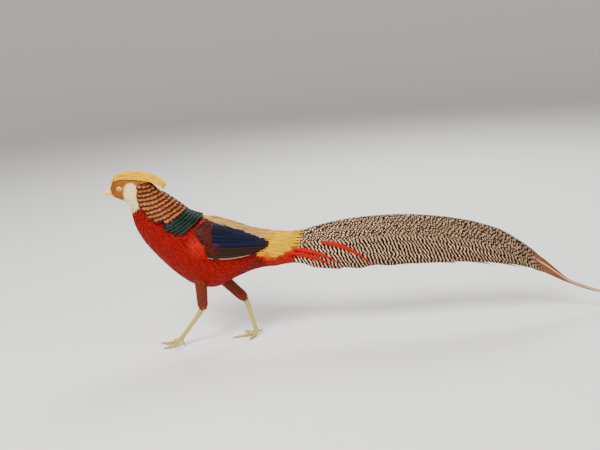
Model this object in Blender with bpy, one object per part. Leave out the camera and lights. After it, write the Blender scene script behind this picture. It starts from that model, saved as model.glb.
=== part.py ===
"""Adult male golden pheasant in mid stride, life size, for Blender 4.5.

The bird faces -X, its left side faces -Y, and +Z is up. Sizes are in millimetres in this file and
are turned into metres when a mesh is made. The floor is z = 0. Side-view points are measured from
the floor point midway between the feet; one empty then moves the whole bird so that the origin is
at the middle of the bottom of its bounding box.

The body is one smooth trunk, read from a short table of sections and parted into head, neck, torso
and rump. Feathers are thin tapered blades laid over it in tiers: each tier starts inside the body
and rises a little over the tier behind it, as roof tiles do.
"""

import math
import random

import bpy
import numpy as np
from mathutils import Vector
from mathutils.bvhtree import BVHTree

MM = 0.001
GAP = 0.3
SEED = 20

# Where the middle of the bounding box lies, measured from the point between the feet
BOX_CENTRE_X = 298.9

# Trunk sections from the bill to the tail root: dorsal x, z, ventral x, z, and half width
TRUNK = (
    (-167.0, 327.0, -167.0, 305.0, 8.0),
    (-153.0, 339.5, -158.0, 299.0, 13.0),
    (-127.0, 341.0, -148.0, 294.0, 15.5),
    (-102.0, 333.0, -139.5, 287.0, 17.0),
    (-88.0, 313.0, -138.5, 276.5, 17.5),
    (-71.5, 296.0, -137.0, 265.0, 19.5),
    (-52.0, 280.0, -135.0, 251.0, 24.0),
    (-32.0, 263.0, -131.0, 237.5, 31.5),
    (1.0, 251.0, -120.0, 214.0, 40.0),
    (31.0, 240.0, -100.0, 186.0, 46.0),
    (56.0, 229.0, -71.0, 152.0, 49.0),
    (77.0, 220.5, -38.0, 124.0, 48.0),
    (95.0, 215.5, 4.0, 113.0, 44.0),
    (114.0, 212.0, 49.0, 130.0, 37.0),
    (136.0, 209.5, 84.0, 141.0, 30.0),
    (155.0, 207.0, 122.0, 145.0, 24.5),
    (172.0, 206.0, 160.0, 148.0, 20.0),
)
HEAD_END = 3
NECK_END = 7
TORSO_END = 14
RUMP_END = 16
TRUNK_SIDES = 20
TORSO_STEP = 0.7
GUIDE_SIDES = 96

# Bill: tip, and the heights of its root where it leaves the head
BILL_TIP = (-188.0, 311.0)
BILL_ROOT_X = -167.3
BILL_TOP_Z = 320.0
BILL_MOUTH_Z = 311.0
BILL_LOW_Z = 305.5
BILL_HALF_WIDTH = 5.6
NOSTRIL = (-172.5, 315.8)

EYE_CENTRE = (-152.5, 319.5)
EYE_RADIUS = 4.6
EYE_STAND_OUT = 1.6
LID_RADIUS = 4.8
LID_THICK = 0.8

# Crest over the crown: x, z, half width and half height of the form that its locks lie on
CREST = (
    (-166.0, 323.5, 6.0, 6.5), (-155.0, 332.5, 10.5, 10.0), (-128.0, 334.5, 13.5, 12.3),
    (-104.0, 329.8, 13.0, 12.0), (-90.0, 326.0, 11.5, 10.0), (-80.0, 319.5, 9.5, 8.5), (-73.0, 313.5, 7.0, 6.5),
)
# Sections of that form that the head's core takes, its share of their size, and a count of sides that
# leaves no corner in the middle plane, where it would meet the corners of the trunk
CREST_CORE_ENDS = 4
CREST_CORE_SHARE = (0.86, 0.8)
CREST_CORE_SIDES = 14
# Tiers of crest locks: station of the roots, count, half angle of the row, length
CREST_TIERS = ((0.25, 3, 52.0, 38.0), (0.9, 4, 58.0, 40.0), (1.6, 5, 66.0, 42.0), (2.3, 5, 66.0, 42.0),
               (3.0, 4, 56.0, 36.0))
CREST_LOCK_WIDTH = 4.9
CREST_LOCK_RISE = 3.0

# Cape and mantle: rings of feathers round a point above the crown, seen from the side. Each row has
# the distance of its tips, its first and last angle down the side, and the length of its feathers.
RING_CENTRE = (-109.0, 368.0)
CAPE_CORE = 4.0
CAPE_ROWS = (
    (61.0, 42.0, 80.0, 18.0), (73.0, 30.0, 92.0, 24.0), (86.0, 16.0, 100.0, 26.0), (99.0, 0.0, 104.0, 27.0),
    (112.0, 0.0, 98.0, 27.0), (125.0, 0.0, 80.0, 27.0),
)
CAPE_WIDTH = 12.0
MANTLE_ROWS = ((139.0, 0.0, 90.0, 26.0), (152.0, 0.0, 84.0, 26.0))
MANTLE_WIDTH = 12.8
FEATHER_SPACE = 1.4

# Golden back and rump: station, number of locks across and their length
BACK_ROWS = (
    (8.85, 3, 30.0), (9.8, 2, 30.0), (10.8, 2, 30.0), (11.7, 3, 28.0), (12.45, 4, 26.0), (13.15, 5, 24.0),
)
RUMP_ROWS = ((14.1, 10, 24.0), (14.75, 9, 24.0), (15.4, 8, 22.0))
BACK_LOCK_WIDTH = 8.4
BACK_LOCK_PITCH = 9.4
# Widths of a lock from root to tip, as shares of its full width
LOCK_SHAPE = (0.5, 1.0, 0.7, 0.12)

# Closed wing in side view: x, z and height of its thick front part
WING_CORE = (
    (-29.0, 224.0, 16.0), (-18.0, 221.5, 40.0), (-4.0, 217.0, 55.0), (5.0, 214.0, 59.0), (14.0, 211.5, 61.0),
    (20.0, 210.5, 59.0),
)
WING_CORE_THICK = (3.0, 4.8, 5.4, 5.4, 5.0, 1.6)
# Long wing feathers from the back down: heights of the root and of the bow, x and z of the tip
WING_ROOT_X = 8.0
WING_LONG = (
    (236.5, 0.5, 50.0, 223.0), (229.5, 0.5, 72.0, 215.0), (222.5, 0.5, 92.0, 206.5),
    (215.5, 0.0, 107.0, 200.0), (208.5, -0.5, 115.0, 195.5), (201.5, -1.0, 110.0, 191.5),
    (194.5, -1.5, 98.0, 187.5), (187.5, -2.0, 80.0, 184.0),
)
WING_LONG_WIDTH = 14.5
WING_LONG_LIFT = 2.2
WING_LONG_SLOPE = 0.19
WING_LONG_THICK = 0.55
# Rows of coverts on the front of the wing: x of the roots and the tips, z of the first and the last, count
WING_COVERTS = ((-24.0, -4.0, 233.0, 210.0, 2), (-13.0, 10.0, 238.0, 196.0, 3), (1.0, 27.0, 235.0, 187.0, 4))
WING_COVERT_WIDTH = 13.5

# Tail outline in side view: x and z of the ridge, and of the lower edge
TAIL_TOP = (
    (172.0, 207.0), (197.0, 214.0), (241.0, 221.5), (294.0, 225.5), (372.0, 224.0), (450.0, 213.0),
    (508.0, 198.0), (558.0, 178.0), (597.0, 151.0), (632.0, 119.0), (691.0, 65.0), (786.0, 29.0),
)
TAIL_LOW = (
    (172.0, 149.0), (197.0, 139.0), (249.0, 132.0), (367.0, 126.0), (485.0, 118.0), (545.0, 110.0),
    (588.0, 101.0), (631.0, 89.0), (676.0, 65.0), (730.0, 41.0), (786.0, 27.5),
)
# Half width where the tail is at least its full height deep; the root is narrower over a short run
TAIL_HALF_WIDTH = 25.0
TAIL_FULL_HEIGHT = 75.0
TAIL_ROOT_SHARE = 0.8
TAIL_ROOT_RUN = (185.0, 45.0)
TAIL_ROOT_X = 186.0
TAIL_LEAVES_X = 205.0
# Sections of the tail's thick root: x, how far it stands out over the feathers, and its scale
TAIL_CORE = ((180.0, -1.5, 1.0), (197.0, 0.2, 1.0), (203.0, 0.2, 0.75))
TAIL_TIPS = (786.0, 688.0, 640.0, 590.0, 532.0, 465.0, 395.0, 320.0, 262.0)
# Run between two sections of a tail feather
TAIL_FEATHER_STEP = 75.0
TAIL_CENTRAL_WIDTH = 46.0
# Share of its length at which a central feather begins to narrow, and the share over which it does
TAIL_CENTRAL_TAPER = (0.62, 0.36)
# How far the central feathers' roots sink
TAIL_CENTRAL_SINK = 2.4
TAIL_THICK = 0.6
# Breadth of a side feather, as a share of the side's height, and how far its upper edge leans in
TAIL_SIDE_SHARE = 0.24
TAIL_LEAN = 2.4

# Scarlet plumes that hang over the side of the tail: root, bends and tip (x, z)
PLUMES = (
    ((190.0, 168.5), (206.0, 162.5), (224.0, 154.0), (246.0, 141.0)),
    ((204.0, 187.0), (226.0, 183.5), (250.0, 175.0), (274.0, 162.0), (296.0, 145.0), (313.0, 128.0)),
)
PLUME_WIDTH = 9.0
PLUME_OUT = 2.8
# How far a plume's root sinks, and the run over which it rises
PLUME_SINK = 5.6
PLUME_RUN = 12.0

# Legs: hip, knee, ankle and foot joint (x, y, z); the left leg steps forward
LEGS = {
    "left": ((-20.0, -25.0, 150.0), (-20.5, -23.0, 120.0), (-23.0, -13.0, 77.0), (-71.0, -11.0, 16.0)),
    "right": ((-4.0, 24.0, 142.0), (18.0, 22.0, 119.0), (56.3, 14.0, 79.5), (73.5, 12.0, 9.0)),
}
# Half widths of a thigh, across and fore and aft, from the hip down to the ankle
THIGH_SIZES = ((9.0, 13.0), (9.0, 11.0), (8.5, 10.3), (8.0, 9.8), (7.4, 8.8))
# Toe tips (x, y, z): inner, middle, outer, and the short hind toe
TOES = {
    "left": ((-93.0, 24.0, 0.6), (-117.0, 9.0, 0.6), (-107.0, -23.0, 0.6), (-66.0, -20.0, 0.6)),
    "right": ((60.0, -14.0, 0.6), (25.0, 5.0, 0.6), (47.0, 40.0, 0.6), (86.0, 15.0, 9.0)),
}
TOE_RADIUS = 3.6
HIND_TOE_RADIUS = 2.9
TOE_STEPS = (0.0, 0.25, 0.5, 0.76, 0.86, 1.0)
TOE_TAPER = (1.0, 0.95, 0.88, 0.8, 0.5, 0.12)
SCUTES = 7
SCUTE_LENGTH = 7.6

COLOURS = {
    "gold": ((0.86, 0.55, 0.09), 0.55),
    "cape_orange": ((0.72, 0.30, 0.07), 0.6),
    "scarlet": ((0.60, 0.03, 0.02), 0.6),
    "wing_brown": ((0.12, 0.05, 0.03), 0.6),
    "tail_buff": ((0.30, 0.20, 0.11), 0.65),
    "thigh_rust": ((0.42, 0.13, 0.06), 0.7),
    "leg_yellow": ((0.62, 0.48, 0.20), 0.45),
    "bill_horn": ((0.72, 0.60, 0.22), 0.35),
    "iris": ((0.85, 0.75, 0.35), 0.1),
}


def unit(vector):
    return vector / np.linalg.norm(vector)


def smooth(t):
    t = min(max(t, 0.0), 1.0)
    return t * t * (3 - 2 * t)


def catmull(rows, s):
    """Rows of numbers read at s, a row index that need not be whole, on a smooth curve."""
    table = np.asarray(rows, float)
    last = len(table) - 1
    s = min(max(s, 0.0), float(last))
    i = min(int(s), last - 1)
    t = s - i
    before, start, end, after = table[max(i - 1, 0)], table[i], table[i + 1], table[min(i + 2, last)]
    return 0.5 * (2 * start + (end - before) * t + (2 * before - 5 * start + 4 * end - after) * t * t
                  + (3 * start - before - 3 * end + after) * t ** 3)


def read_at(points, x):
    """Height of an outline at x, on a smooth curve through its points."""
    xs = [point[0] for point in points]
    i = min(max(int(np.searchsorted(xs, x)) - 1, 0), len(xs) - 2)
    s = i + (x - xs[i]) / (xs[i + 1] - xs[i])
    return float(catmull([(point[1],) for point in points], s)[0])


def cape_core(s, angle):
    """How far the cape's padding stands out on the back and sides of the neck."""
    back = smooth((math.cos(angle) + 0.55) / 0.8)
    return CAPE_CORE * smooth((s - 4.0) / 1.2) * back


def trunk_point(s, angle, lift=0.0, coat=False):
    """Point on the trunk at station s; the angle runs from the back down the left side."""
    dx, dz, vx, vz, half_width = catmull(TRUNK, s)
    half = np.array(((dx - vx) / 2, 0.0, (dz - vz) / 2))
    size = np.linalg.norm(half)
    out = lift + (cape_core(s, angle) if coat else 0.0)
    middle = np.array(((dx + vx) / 2, 0.0, (dz + vz) / 2))
    side = np.array((0.0, -(half_width + out) * math.sin(angle), 0.0))
    return middle + half * ((size + out) / size) * math.cos(angle) + side


def trunk_ring(s, sides=TRUNK_SIDES, lift=0.0, coat=False):
    return np.array([trunk_point(s, 2 * math.pi * k / sides, lift, coat) for k in range(sides)])


def section_normal(s):
    """Direction square to the section at station s, pointing to the tail."""
    dx, dz, vx, vz, _ = catmull(TRUNK, s)
    return unit(np.array((dz - vz, 0.0, -(dx - vx))))


def loft(rings):
    """Closed mesh through rings of equal count, its ends closed with a fan round their middle."""
    rings = [np.asarray(ring, float) for ring in rings]
    sides = len(rings[0])
    verts = [point for ring in rings for point in ring]
    faces = []
    for i in range(len(rings) - 1):
        for k in range(sides):
            a, b = i * sides + k, i * sides + (k + 1) % sides
            faces += [(a, b, b + sides), (a, b + sides, a + sides)]
    for i, flip in ((0, True), (len(rings) - 1, False)):
        middle = len(verts)
        verts.append(rings[i].mean(axis=0))
        for k in range(sides):
            a, b = i * sides + k, i * sides + (k + 1) % sides
            faces.append((b, a, middle) if flip else (a, b, middle))
    return np.array(verts), faces


def trunk_length(start, end, step, lift=0.0, coat=False, sides=TRUNK_SIDES, short=GAP / 2):
    """Stretch of the trunk between two stations, each cut end a little short of the station."""
    count = max(int(round((end - start) / step)), 1)
    rings = [trunk_ring(start + (end - start) * i / count, sides, lift, coat) for i in range(count + 1)]
    if start > 0:
        rings[0] = rings[0] + section_normal(start) * short
    if end < RUMP_END:
        rings[-1] = rings[-1] - section_normal(end) * short
    return loft(rings)


def outward(piece):
    """The same closed mesh with its faces turned outward."""
    verts, faces = piece
    verts = np.asarray(verts)
    corners = verts[np.array([face[:3] for face in faces])]
    volume = np.einsum("ij,ij->i", corners[:, 0], np.cross(corners[:, 1], corners[:, 2])).sum()
    return verts, (faces if volume > 0 else [tuple(reversed(face)) for face in faces])


def surface(piece):
    """Surface that blades can be laid on."""
    verts, faces = outward(piece)
    return BVHTree.FromPolygons([tuple(point) for point in verts], [tuple(face) for face in faces])


def snap(skin, point):
    """Nearest point of a surface and its outward direction there."""
    place, normal, _, _ = skin.find_nearest(Vector(point))
    return np.array(place), np.array(normal)


def walk(skin, start, heading, length, steps=6):
    """Points along a surface from a start, straight on in the given direction."""
    place, normal = snap(skin, start)
    points = [place]
    for _ in range(steps):
        heading = unit(heading - normal * np.dot(heading, normal))
        place, normal = snap(skin, place + heading * (length / steps))
        points.append(place)
    return points


def blade(skin, path, steps, halves, lifts, thick=0.6, slope=0.0):
    """Thin closed blade along a path over a surface.

    steps are the places of its sections from 0 to 1, halves their half widths, and lifts the height
    of the lower face over the surface. Its two edges follow the surface; a slope lifts one of them.
    """
    centres = [catmull(path, t * (len(path) - 1)) for t in steps]
    lows, highs = [], []
    for i, centre in enumerate(centres):
        place, normal = snap(skin, centre)
        way = unit(centres[min(i + 1, len(centres) - 1)] - centres[max(i - 1, 0)])
        side = unit(np.cross(normal, way))
        low, high = [], []
        for edge in (-halves[i], halves[i]):
            foot, out = snap(skin, place + side * edge)
            low.append(foot + out * (lifts[i] + slope * edge))
            high.append(foot + out * (lifts[i] + slope * edge + thick))
        lows.append(low)
        highs.append(high)
    return two_faced(lows, highs)


def two_faced(lows, highs):
    """Closed mesh of a lower and an upper face with the same diagonals."""
    rows, cols = len(lows), len(lows[0])
    verts = [point for row in lows for point in row] + [point for row in highs for point in row]
    top = rows * cols
    faces = []
    for i in range(rows - 1):
        for j in range(cols - 1):
            a, b = i * cols + j, i * cols + j + 1
            c, d = b + cols, a + cols
            faces += [(a, c, b), (a, d, c), (top + a, top + b, top + c), (top + a, top + c, top + d)]
    rim = [i * cols for i in range(rows)] + [(rows - 1) * cols + j for j in range(1, cols)]
    rim += [i * cols + cols - 1 for i in range(rows - 2, -1, -1)] + list(range(cols - 2, 0, -1))
    for a, b in zip(rim, rim[1:] + rim[:1]):
        faces += [(a, top + b, b), (a, top + a, top + b)]
    return np.array(verts), faces


def body_surface():
    """Smooth surface of the whole trunk, drawn on past its end, for laying feathers on."""
    rings = [trunk_ring(s, GUIDE_SIDES) for s in np.arange(0.0, RUMP_END + 0.01, 0.16)]
    ahead = section_normal(RUMP_END)
    rings += [rings[-1] + ahead * run for run in (8.0, 16.0, 30.0)]
    return surface(loft(rings))


def frames(points):
    """Unit direction, side and up at each point of a path, turned as little as possible."""
    points = np.asarray(points, float)
    ways = np.gradient(points, axis=0)
    ways /= np.linalg.norm(ways, axis=1)[:, None]
    up = np.cross(ways[0], (0.0, 1.0, 0.0))
    if np.linalg.norm(up) < 0.2:
        up = np.cross(ways[0], (0.0, 0.0, 1.0))
    result = []
    for way in ways:
        up = unit(up - way * np.dot(up, way))
        result.append((way, np.cross(way, up), up))
    return result


def tube(points, radii, sides=8):
    """Closed tube along a path; each radius is one number, or two for an oval (side, up)."""
    rings = []
    points = np.asarray(points, float)
    for point, radius, (_, side, up) in zip(points, radii, frames(points)):
        across, high = radius if isinstance(radius, tuple) else (radius, radius)
        angles = [2 * math.pi * k / sides for k in range(sides)]
        rings.append([point + side * across * math.cos(a) + up * high * math.sin(a) for a in angles])
    return loft(rings)


def material(name):
    """Principled material in a feather, horn or skin colour."""
    found = bpy.data.materials.get(name)
    if found:
        return found
    colour, roughness = COLOURS[name]
    made = bpy.data.materials.new(name)
    made.use_nodes = True
    shader = made.node_tree.nodes["Principled BSDF"]
    shader.inputs["Base Color"].default_value = (*colour, 1.0)
    shader.inputs["Roughness"].default_value = roughness
    shader.inputs["Metallic"].default_value = 0.0
    return made


def mesh_object(name, verts, faces, collection):
    """Object from points in millimetres."""
    verts, faces = outward((verts, faces))
    mesh = bpy.data.meshes.new(name)
    mesh.from_pydata([tuple(point * MM) for point in verts], [], [tuple(face) for face in faces])
    mesh.update()
    made = bpy.data.objects.new(name, mesh)
    collection.objects.link(made)
    return made


def apply_modifiers(target):
    """Keep the evaluated mesh of an object and drop its modifiers."""
    depsgraph = bpy.context.evaluated_depsgraph_get()
    mesh = bpy.data.meshes.new_from_object(target.evaluated_get(depsgraph))
    target.modifiers.clear()
    target.data = mesh


def boolean(target, operation, cutter=None, collection=None):
    """Apply one Boolean with an object or a whole collection."""
    modifier = target.modifiers.new(operation.lower(), "BOOLEAN")
    modifier.operation = operation
    modifier.solver = "EXACT"
    if collection:
        modifier.operand_type = "COLLECTION"
        modifier.collection = collection
    else:
        modifier.object = cutter
    apply_modifiers(target)


def remove(objects):
    for item in list(objects):
        bpy.data.objects.remove(item, do_unlink=True)


def main_surface(target):
    """Keep only the largest closed surface of a mesh."""
    mesh = target.data
    parent = list(range(len(mesh.vertices)))

    def root(i):
        while parent[i] != i:
            parent[i] = parent[parent[i]]
            i = parent[i]
        return i

    for edge in mesh.edges:
        parent[root(edge.vertices[0])] = root(edge.vertices[1])
    groups = {}
    for face in mesh.polygons:
        groups.setdefault(root(face.vertices[0]), []).append(tuple(face.vertices))
    points = np.array([vertex.co for vertex in mesh.vertices])

    def spread(faces):
        used = points[[i for face in faces for i in face]]
        return float(np.prod(used.max(axis=0) - used.min(axis=0)))

    kept = max(groups.values(), key=spread)
    used = sorted({i for face in kept for i in face})
    index = {old: new for new, old in enumerate(used)}
    fresh = bpy.data.meshes.new(mesh.name)
    fresh.from_pydata([tuple(points[i]) for i in used], [], [[index[i] for i in face] for face in kept])
    fresh.update()
    for slot in mesh.materials:
        fresh.materials.append(slot)
    target.data = fresh


def fuse(name, pieces, slot, parts, shop):
    """One closed body from a list of closed meshes that cross, in one Boolean union."""
    base = mesh_object(name, *pieces[0], parts)
    if len(pieces) > 1:
        joined = bpy.data.collections.new(name + "_pieces")
        shop.children.link(joined)
        for number, piece in enumerate(pieces[1:]):
            mesh_object(f"{name}_piece_{number}", *piece, joined)
        boolean(base, "UNION", collection=joined)
        remove(joined.objects)
        bpy.data.collections.remove(joined)
        main_surface(base)
    base.data.materials.clear()
    base.data.materials.append(material(slot))
    return base


def cut_by(target, piece, shop):
    """Take one closed piece out of a body."""
    cutter = mesh_object("cutter", *piece, shop)
    boolean(target, "DIFFERENCE", cutter=cutter)
    remove([cutter])
    main_surface(target)


def lock(skin, root, heading, length, width, rise, low=0.5, sink=2.2):
    """Narrow lock that starts inside the body and lies back over it to a thin point."""
    path = walk(skin, root, heading, length)
    steps = (0.0, 0.25, 0.65, 1.0)
    halves = [width * 0.5 * k for k in LOCK_SHAPE]
    return blade(skin, path, steps, halves, [-sink] + [low + rise * t for t in steps[1:]])


def vane(skin, path, width, rise, tip=0.62, low=0.6, sink=2.2):
    """Broad feather whose root is inside the body, with a blunt tip."""
    steps = (0.0, 0.3, 0.78, 1.0)
    halves = [width * 0.5 * k for k in (0.26, 0.58, 1.0, tip)]
    return blade(skin, path, steps, halves, [-sink] + [low + rise * t for t in steps[1:]])


def ring_line(distance, first, last):
    """Points of the coat at one distance from the ring centre, from the back down one side."""
    centre = np.array((RING_CENTRE[0], 0.0, RING_CENTRE[1]))
    points = []
    for k in range(49):
        angle = math.radians(first + (last - first) * k / 48)
        low, high = 2.4, 10.0
        for _ in range(24):
            middle = (low + high) / 2
            reach = np.linalg.norm((trunk_point(middle, angle, coat=True) - centre)[[0, 2]])
            low, high = (middle, high) if reach < distance else (low, middle)
        points.append(trunk_point(low, angle, coat=True))
    return np.array(points)


def ring_of_feathers(skin, row, width, shift, station, draw):
    """Feathers whose tips end at one distance from the ring centre, rooted behind a station."""
    distance, first, last, length = row
    points = ring_line(distance, first, last)
    runs = np.concatenate(((0.0,), np.cumsum(np.linalg.norm(np.diff(points, axis=0), axis=1))))
    cut = section_normal(station)
    level = np.dot(trunk_point(station, 0.0), cut)
    result = []
    place = shift * (width + FEATHER_SPACE)
    while place < runs[-1]:
        tip = np.array([np.interp(place, runs, points[:, axis]) for axis in range(3)])
        inward = unit(np.array((RING_CENTRE[0] - tip[0], 0.0, RING_CENTRE[1] - tip[2])))
        size = length * draw.uniform(0.96, 1.03)
        path = walk(skin, tip, inward, size)
        short = level + 3.0 - np.dot(path[-1], cut)
        if short > 0:
            size -= short / max(-np.dot(unit(path[-1] - path[-2]), cut), 0.3)
            path = walk(skin, tip, inward, max(size, 1.0))
        if size > 10.0:
            for mirror in ((1.0,) if first == 0.0 and place < 0.01 else (1.0, -1.0)):
                turned = [point * np.array((1.0, mirror, 1.0)) for point in reversed(path)]
                result.append(vane(skin, turned, width, 0.14 * length))
        place += width + FEATHER_SPACE
    return result


def make_head(parts, shop, draw):
    """Head core, the locks of the crest, the lids and the sockets of the eyes."""
    guide = surface(tube([(x, 0.0, z) for x, z, _, _ in CREST], [(a, h) for _, _, a, h in CREST], 32))
    share, high_share = CREST_CORE_SHARE
    core = tube([(x, 0.0, z) for x, z, _, _ in CREST[:CREST_CORE_ENDS]],
                [(a * share, h * high_share) for _, _, a, h in CREST[:CREST_CORE_ENDS]], CREST_CORE_SIDES)
    pieces = [trunk_length(0, HEAD_END, 0.3), core]
    for station, count, half_angle, length in CREST_TIERS:
        x, z, across, high = catmull(CREST, station)
        ahead = catmull(CREST, station + 0.05)
        way = unit(np.array((ahead[0] - x, 0.0, ahead[1] - z)))
        up = np.array((-way[2], 0.0, way[0]))
        for k in range(count):
            angle = math.radians(half_angle) * (2 * (k + 0.5) / count - 1)
            root = np.array((x, 0.0, z)) + up * high * math.cos(angle)
            root = root + np.array((0.0, across * math.sin(angle), 0.0))
            heading = unit(way + np.array((0.0, 0.12 * math.sin(angle), -0.05 * abs(math.sin(angle)))))
            size = length * draw.uniform(0.93, 1.05)
            pieces.append(lock(guide, root, heading, size, CREST_LOCK_WIDTH, CREST_LOCK_RISE, sink=3.0))
    for side in (-1, 1):
        pieces.append(eye_ring(side))
    head = fuse("head", pieces, "gold", parts, shop)
    cut_by(head, trunk_length(HEAD_END, HEAD_END + 2.4, 0.4, lift=5.0, coat=True, short=-GAP / 3), shop)
    for side in (-1, 1):
        cut_by(head, eye_ball(side, EYE_RADIUS + GAP), shop)


def eye_middle(side):
    half_width = catmull(TRUNK, 1.0)[4]
    return np.array((EYE_CENTRE[0], side * (half_width + EYE_STAND_OUT - EYE_RADIUS), EYE_CENTRE[1]))


def eye_ball(side, radius, rings=6, sides=12):
    """Ball of the eye on one side of the head."""
    centre = eye_middle(side)
    levels = []
    for i in range(rings):
        angle = math.pi * (i + 0.5) / rings
        r = radius * math.sin(angle)
        levels.append([centre + np.array((r * math.cos(2 * math.pi * k / sides), radius * math.cos(angle),
                                          r * math.sin(2 * math.pi * k / sides))) for k in range(sides)])
    return loft(levels)


def eye_ring(side):
    """Rim of the lids round one eye, a ring sunk half in the head."""
    centre = eye_middle(side)
    centre[1] = side * (catmull(TRUNK, 1.0)[4] - 0.2)
    sides, round_sides = 14, 5
    verts, faces = [], []
    for i in range(sides):
        angle = 2 * math.pi * i / sides
        for k in range(round_sides):
            turn = 2 * math.pi * k / round_sides
            r = LID_RADIUS + LID_THICK * math.cos(turn)
            verts.append(centre + np.array((r * math.cos(angle), side * LID_THICK * 1.5 * math.sin(turn),
                                            0.94 * r * math.sin(angle))))
    for i in range(sides):
        for k in range(round_sides):
            a, b = i * round_sides + k, i * round_sides + (k + 1) % round_sides
            c, d = (b + round_sides) % len(verts), (a + round_sides) % len(verts)
            faces += [(a, b, c), (a, c, d)]
    return np.array(verts), faces


def bill_half(upper, steps=6):
    """Upper or lower half of the bill, from its root on the head to its tip."""
    tip_x, tip_z = BILL_TIP
    rings = []
    for i in range(steps + 1):
        t = i / steps
        x = BILL_ROOT_X - GAP + (tip_x - BILL_ROOT_X) * t * (1.0 if upper else 0.82)
        half = BILL_HALF_WIDTH * math.sqrt(max(1 - t ** 1.6, 0.03)) * (1.0 if upper else 0.86)
        mouth = BILL_MOUTH_Z - 1.2 * t
        if upper:
            low = mouth - 1.6 * t ** 6
            top = max(BILL_TOP_Z - (BILL_TOP_Z - tip_z) * t ** 1.9, low + 0.8)
        else:
            top = mouth - GAP
            low = BILL_LOW_Z + (mouth - BILL_LOW_Z - 1.3) * t ** 1.3
        rings.append(bill_section(x, top, low, half, upper))
    return loft(rings)


def bill_section(x, top, low, half, upper, sides=10):
    """Half round on the outer side and nearly flat along the line of the mouth."""
    ring = []
    for k in range(sides):
        angle = 2 * math.pi * k / sides
        y, rise = half * math.cos(angle), math.sin(angle)
        base, reach = (low, top - low) if upper else (top, top - low)
        outer = rise > 0 if upper else rise < 0
        ring.append((x, y, base + reach * rise if outer else base))
    return np.array(ring)


def make_bill_and_eyes(parts, shop):
    upper = fuse("bill_upper", [bill_half(True)], "bill_horn", parts, shop)
    for side in (-1, 1):
        x, z = NOSTRIL
        dent = tube(((x - 1.8, side * 4.2, z - 0.5), (x - 0.8, side * 4.4, z - 0.2), (x + 0.8, side * 4.6, z + 0.2),
                     (x + 1.8, side * 4.7, z + 0.5)), (0.4, 0.9, 0.9, 0.4), 6)
        cut_by(upper, dent, shop)
    fuse("bill_lower", [bill_half(False)], "bill_horn", parts, shop)
    fuse("eye_left", [eye_ball(-1, EYE_RADIUS)], "iris", parts, shop)
    fuse("eye_right", [eye_ball(1, EYE_RADIUS)], "iris", parts, shop)


def make_neck(parts, shop, draw):
    """Neck with the barred cape, ring after ring of broad feathers."""
    guide = surface(trunk_length(2.4, 9.0, 0.15, coat=True, sides=GUIDE_SIDES))
    pieces = [trunk_length(HEAD_END, NECK_END, 0.5, coat=True)]
    for number, row in enumerate(CAPE_ROWS):
        pieces += ring_of_feathers(guide, row, CAPE_WIDTH, 0.5 * (number % 2), HEAD_END, draw)
    fuse("neck", pieces, "cape_orange", parts, shop)


def across_back(station, offset):
    """Angle on the trunk that lies a given run from the middle of the back."""
    angles = np.radians(np.arange(0.0, 150.0, 3.0))
    points = np.array([trunk_point(station, angle) for angle in angles])
    runs = np.concatenate(((0.0,), np.cumsum(np.linalg.norm(np.diff(points, axis=0), axis=1))))
    return math.copysign(float(np.interp(abs(offset), runs, angles)), offset)


def back_row(skin, station, count, length, draw):
    """Row of golden locks across the back at one station, lying towards the tail."""
    result = []
    for k in range(count):
        angle = across_back(station, (k - (count - 1) / 2) * BACK_LOCK_PITCH)
        root = trunk_point(station, angle)
        heading = unit(trunk_point(min(station + 0.5, RUMP_END), angle) - root)
        result.append(lock(skin, root, heading, length * draw.uniform(0.94, 1.06), BACK_LOCK_WIDTH, 2.8))
    return result


def make_body(parts, shop, skin, draw):
    """Torso with the mantle and the golden back, and the rump."""
    pieces = [trunk_length(NECK_END, TORSO_END, TORSO_STEP)]
    for number, row in enumerate(MANTLE_ROWS):
        pieces += ring_of_feathers(skin, row, MANTLE_WIDTH, 0.5 * (number % 2), NECK_END, draw)
    for row in BACK_ROWS:
        pieces += back_row(skin, *row, draw)
    fuse("torso", pieces, "scarlet", parts, shop)
    pieces = [trunk_length(TORSO_END, RUMP_END, 0.5)]
    for row in RUMP_ROWS:
        pieces += back_row(skin, *row, draw)
    fuse("rump", pieces, "gold", parts, shop)


def on_flank(skin, x, z, side):
    """Point of the trunk's side at a place in side view."""
    hit = skin.ray_cast(Vector((x, side * 150.0, z)), Vector((0.0, -side, 0.0)))[0]
    if hit is None:
        return snap(skin, (x, side * 5.0, z))[0]
    return np.array(hit)


def wing_core(side, skin):
    """Thick front part of the closed wing, blunt behind where the long feathers leave it."""
    last = len(WING_CORE) - 1
    lows, highs = [], []
    for i in range(last + 1):
        x, z, height = WING_CORE[i]
        low, high = [], []
        for part in (-1.0, -0.7, -0.35, 0.0, 0.35, 0.7, 1.0):
            place, normal = snap(skin, on_flank(skin, x, z + 0.5 * height * part, side))
            low.append(place + normal * 1.0)
            high.append(place + normal * (1.0 + (WING_CORE_THICK[i] - 1.0) * (1 - 0.55 * part ** 4)))
        lows.append(low)
        highs.append(high)
    return two_faced(lows, highs)


def wing_feather(side, skin, number):
    """One long feather of the wing, its upper edge under the feather above it."""
    root_z, bow, tip_x, tip_z = WING_LONG[number]
    path = []
    for u in (0.0, 0.2, 0.4, 0.6, 0.8, 1.0):
        z = root_z * (1 - u) + tip_z * u + bow * math.sin(math.pi * u)
        path.append(on_flank(skin, WING_ROOT_X * (1 - u) + tip_x * u, z, side))
    halves = [0.5 * WING_LONG_WIDTH * w for w in (0.8, 0.96, 1.0, 0.9, 0.66, 0.16)]
    return blade(skin, path, (0.0, 0.2, 0.4, 0.62, 0.84, 1.0), halves, [WING_LONG_LIFT] * 6, WING_LONG_THICK,
                 WING_LONG_SLOPE * side)


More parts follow.
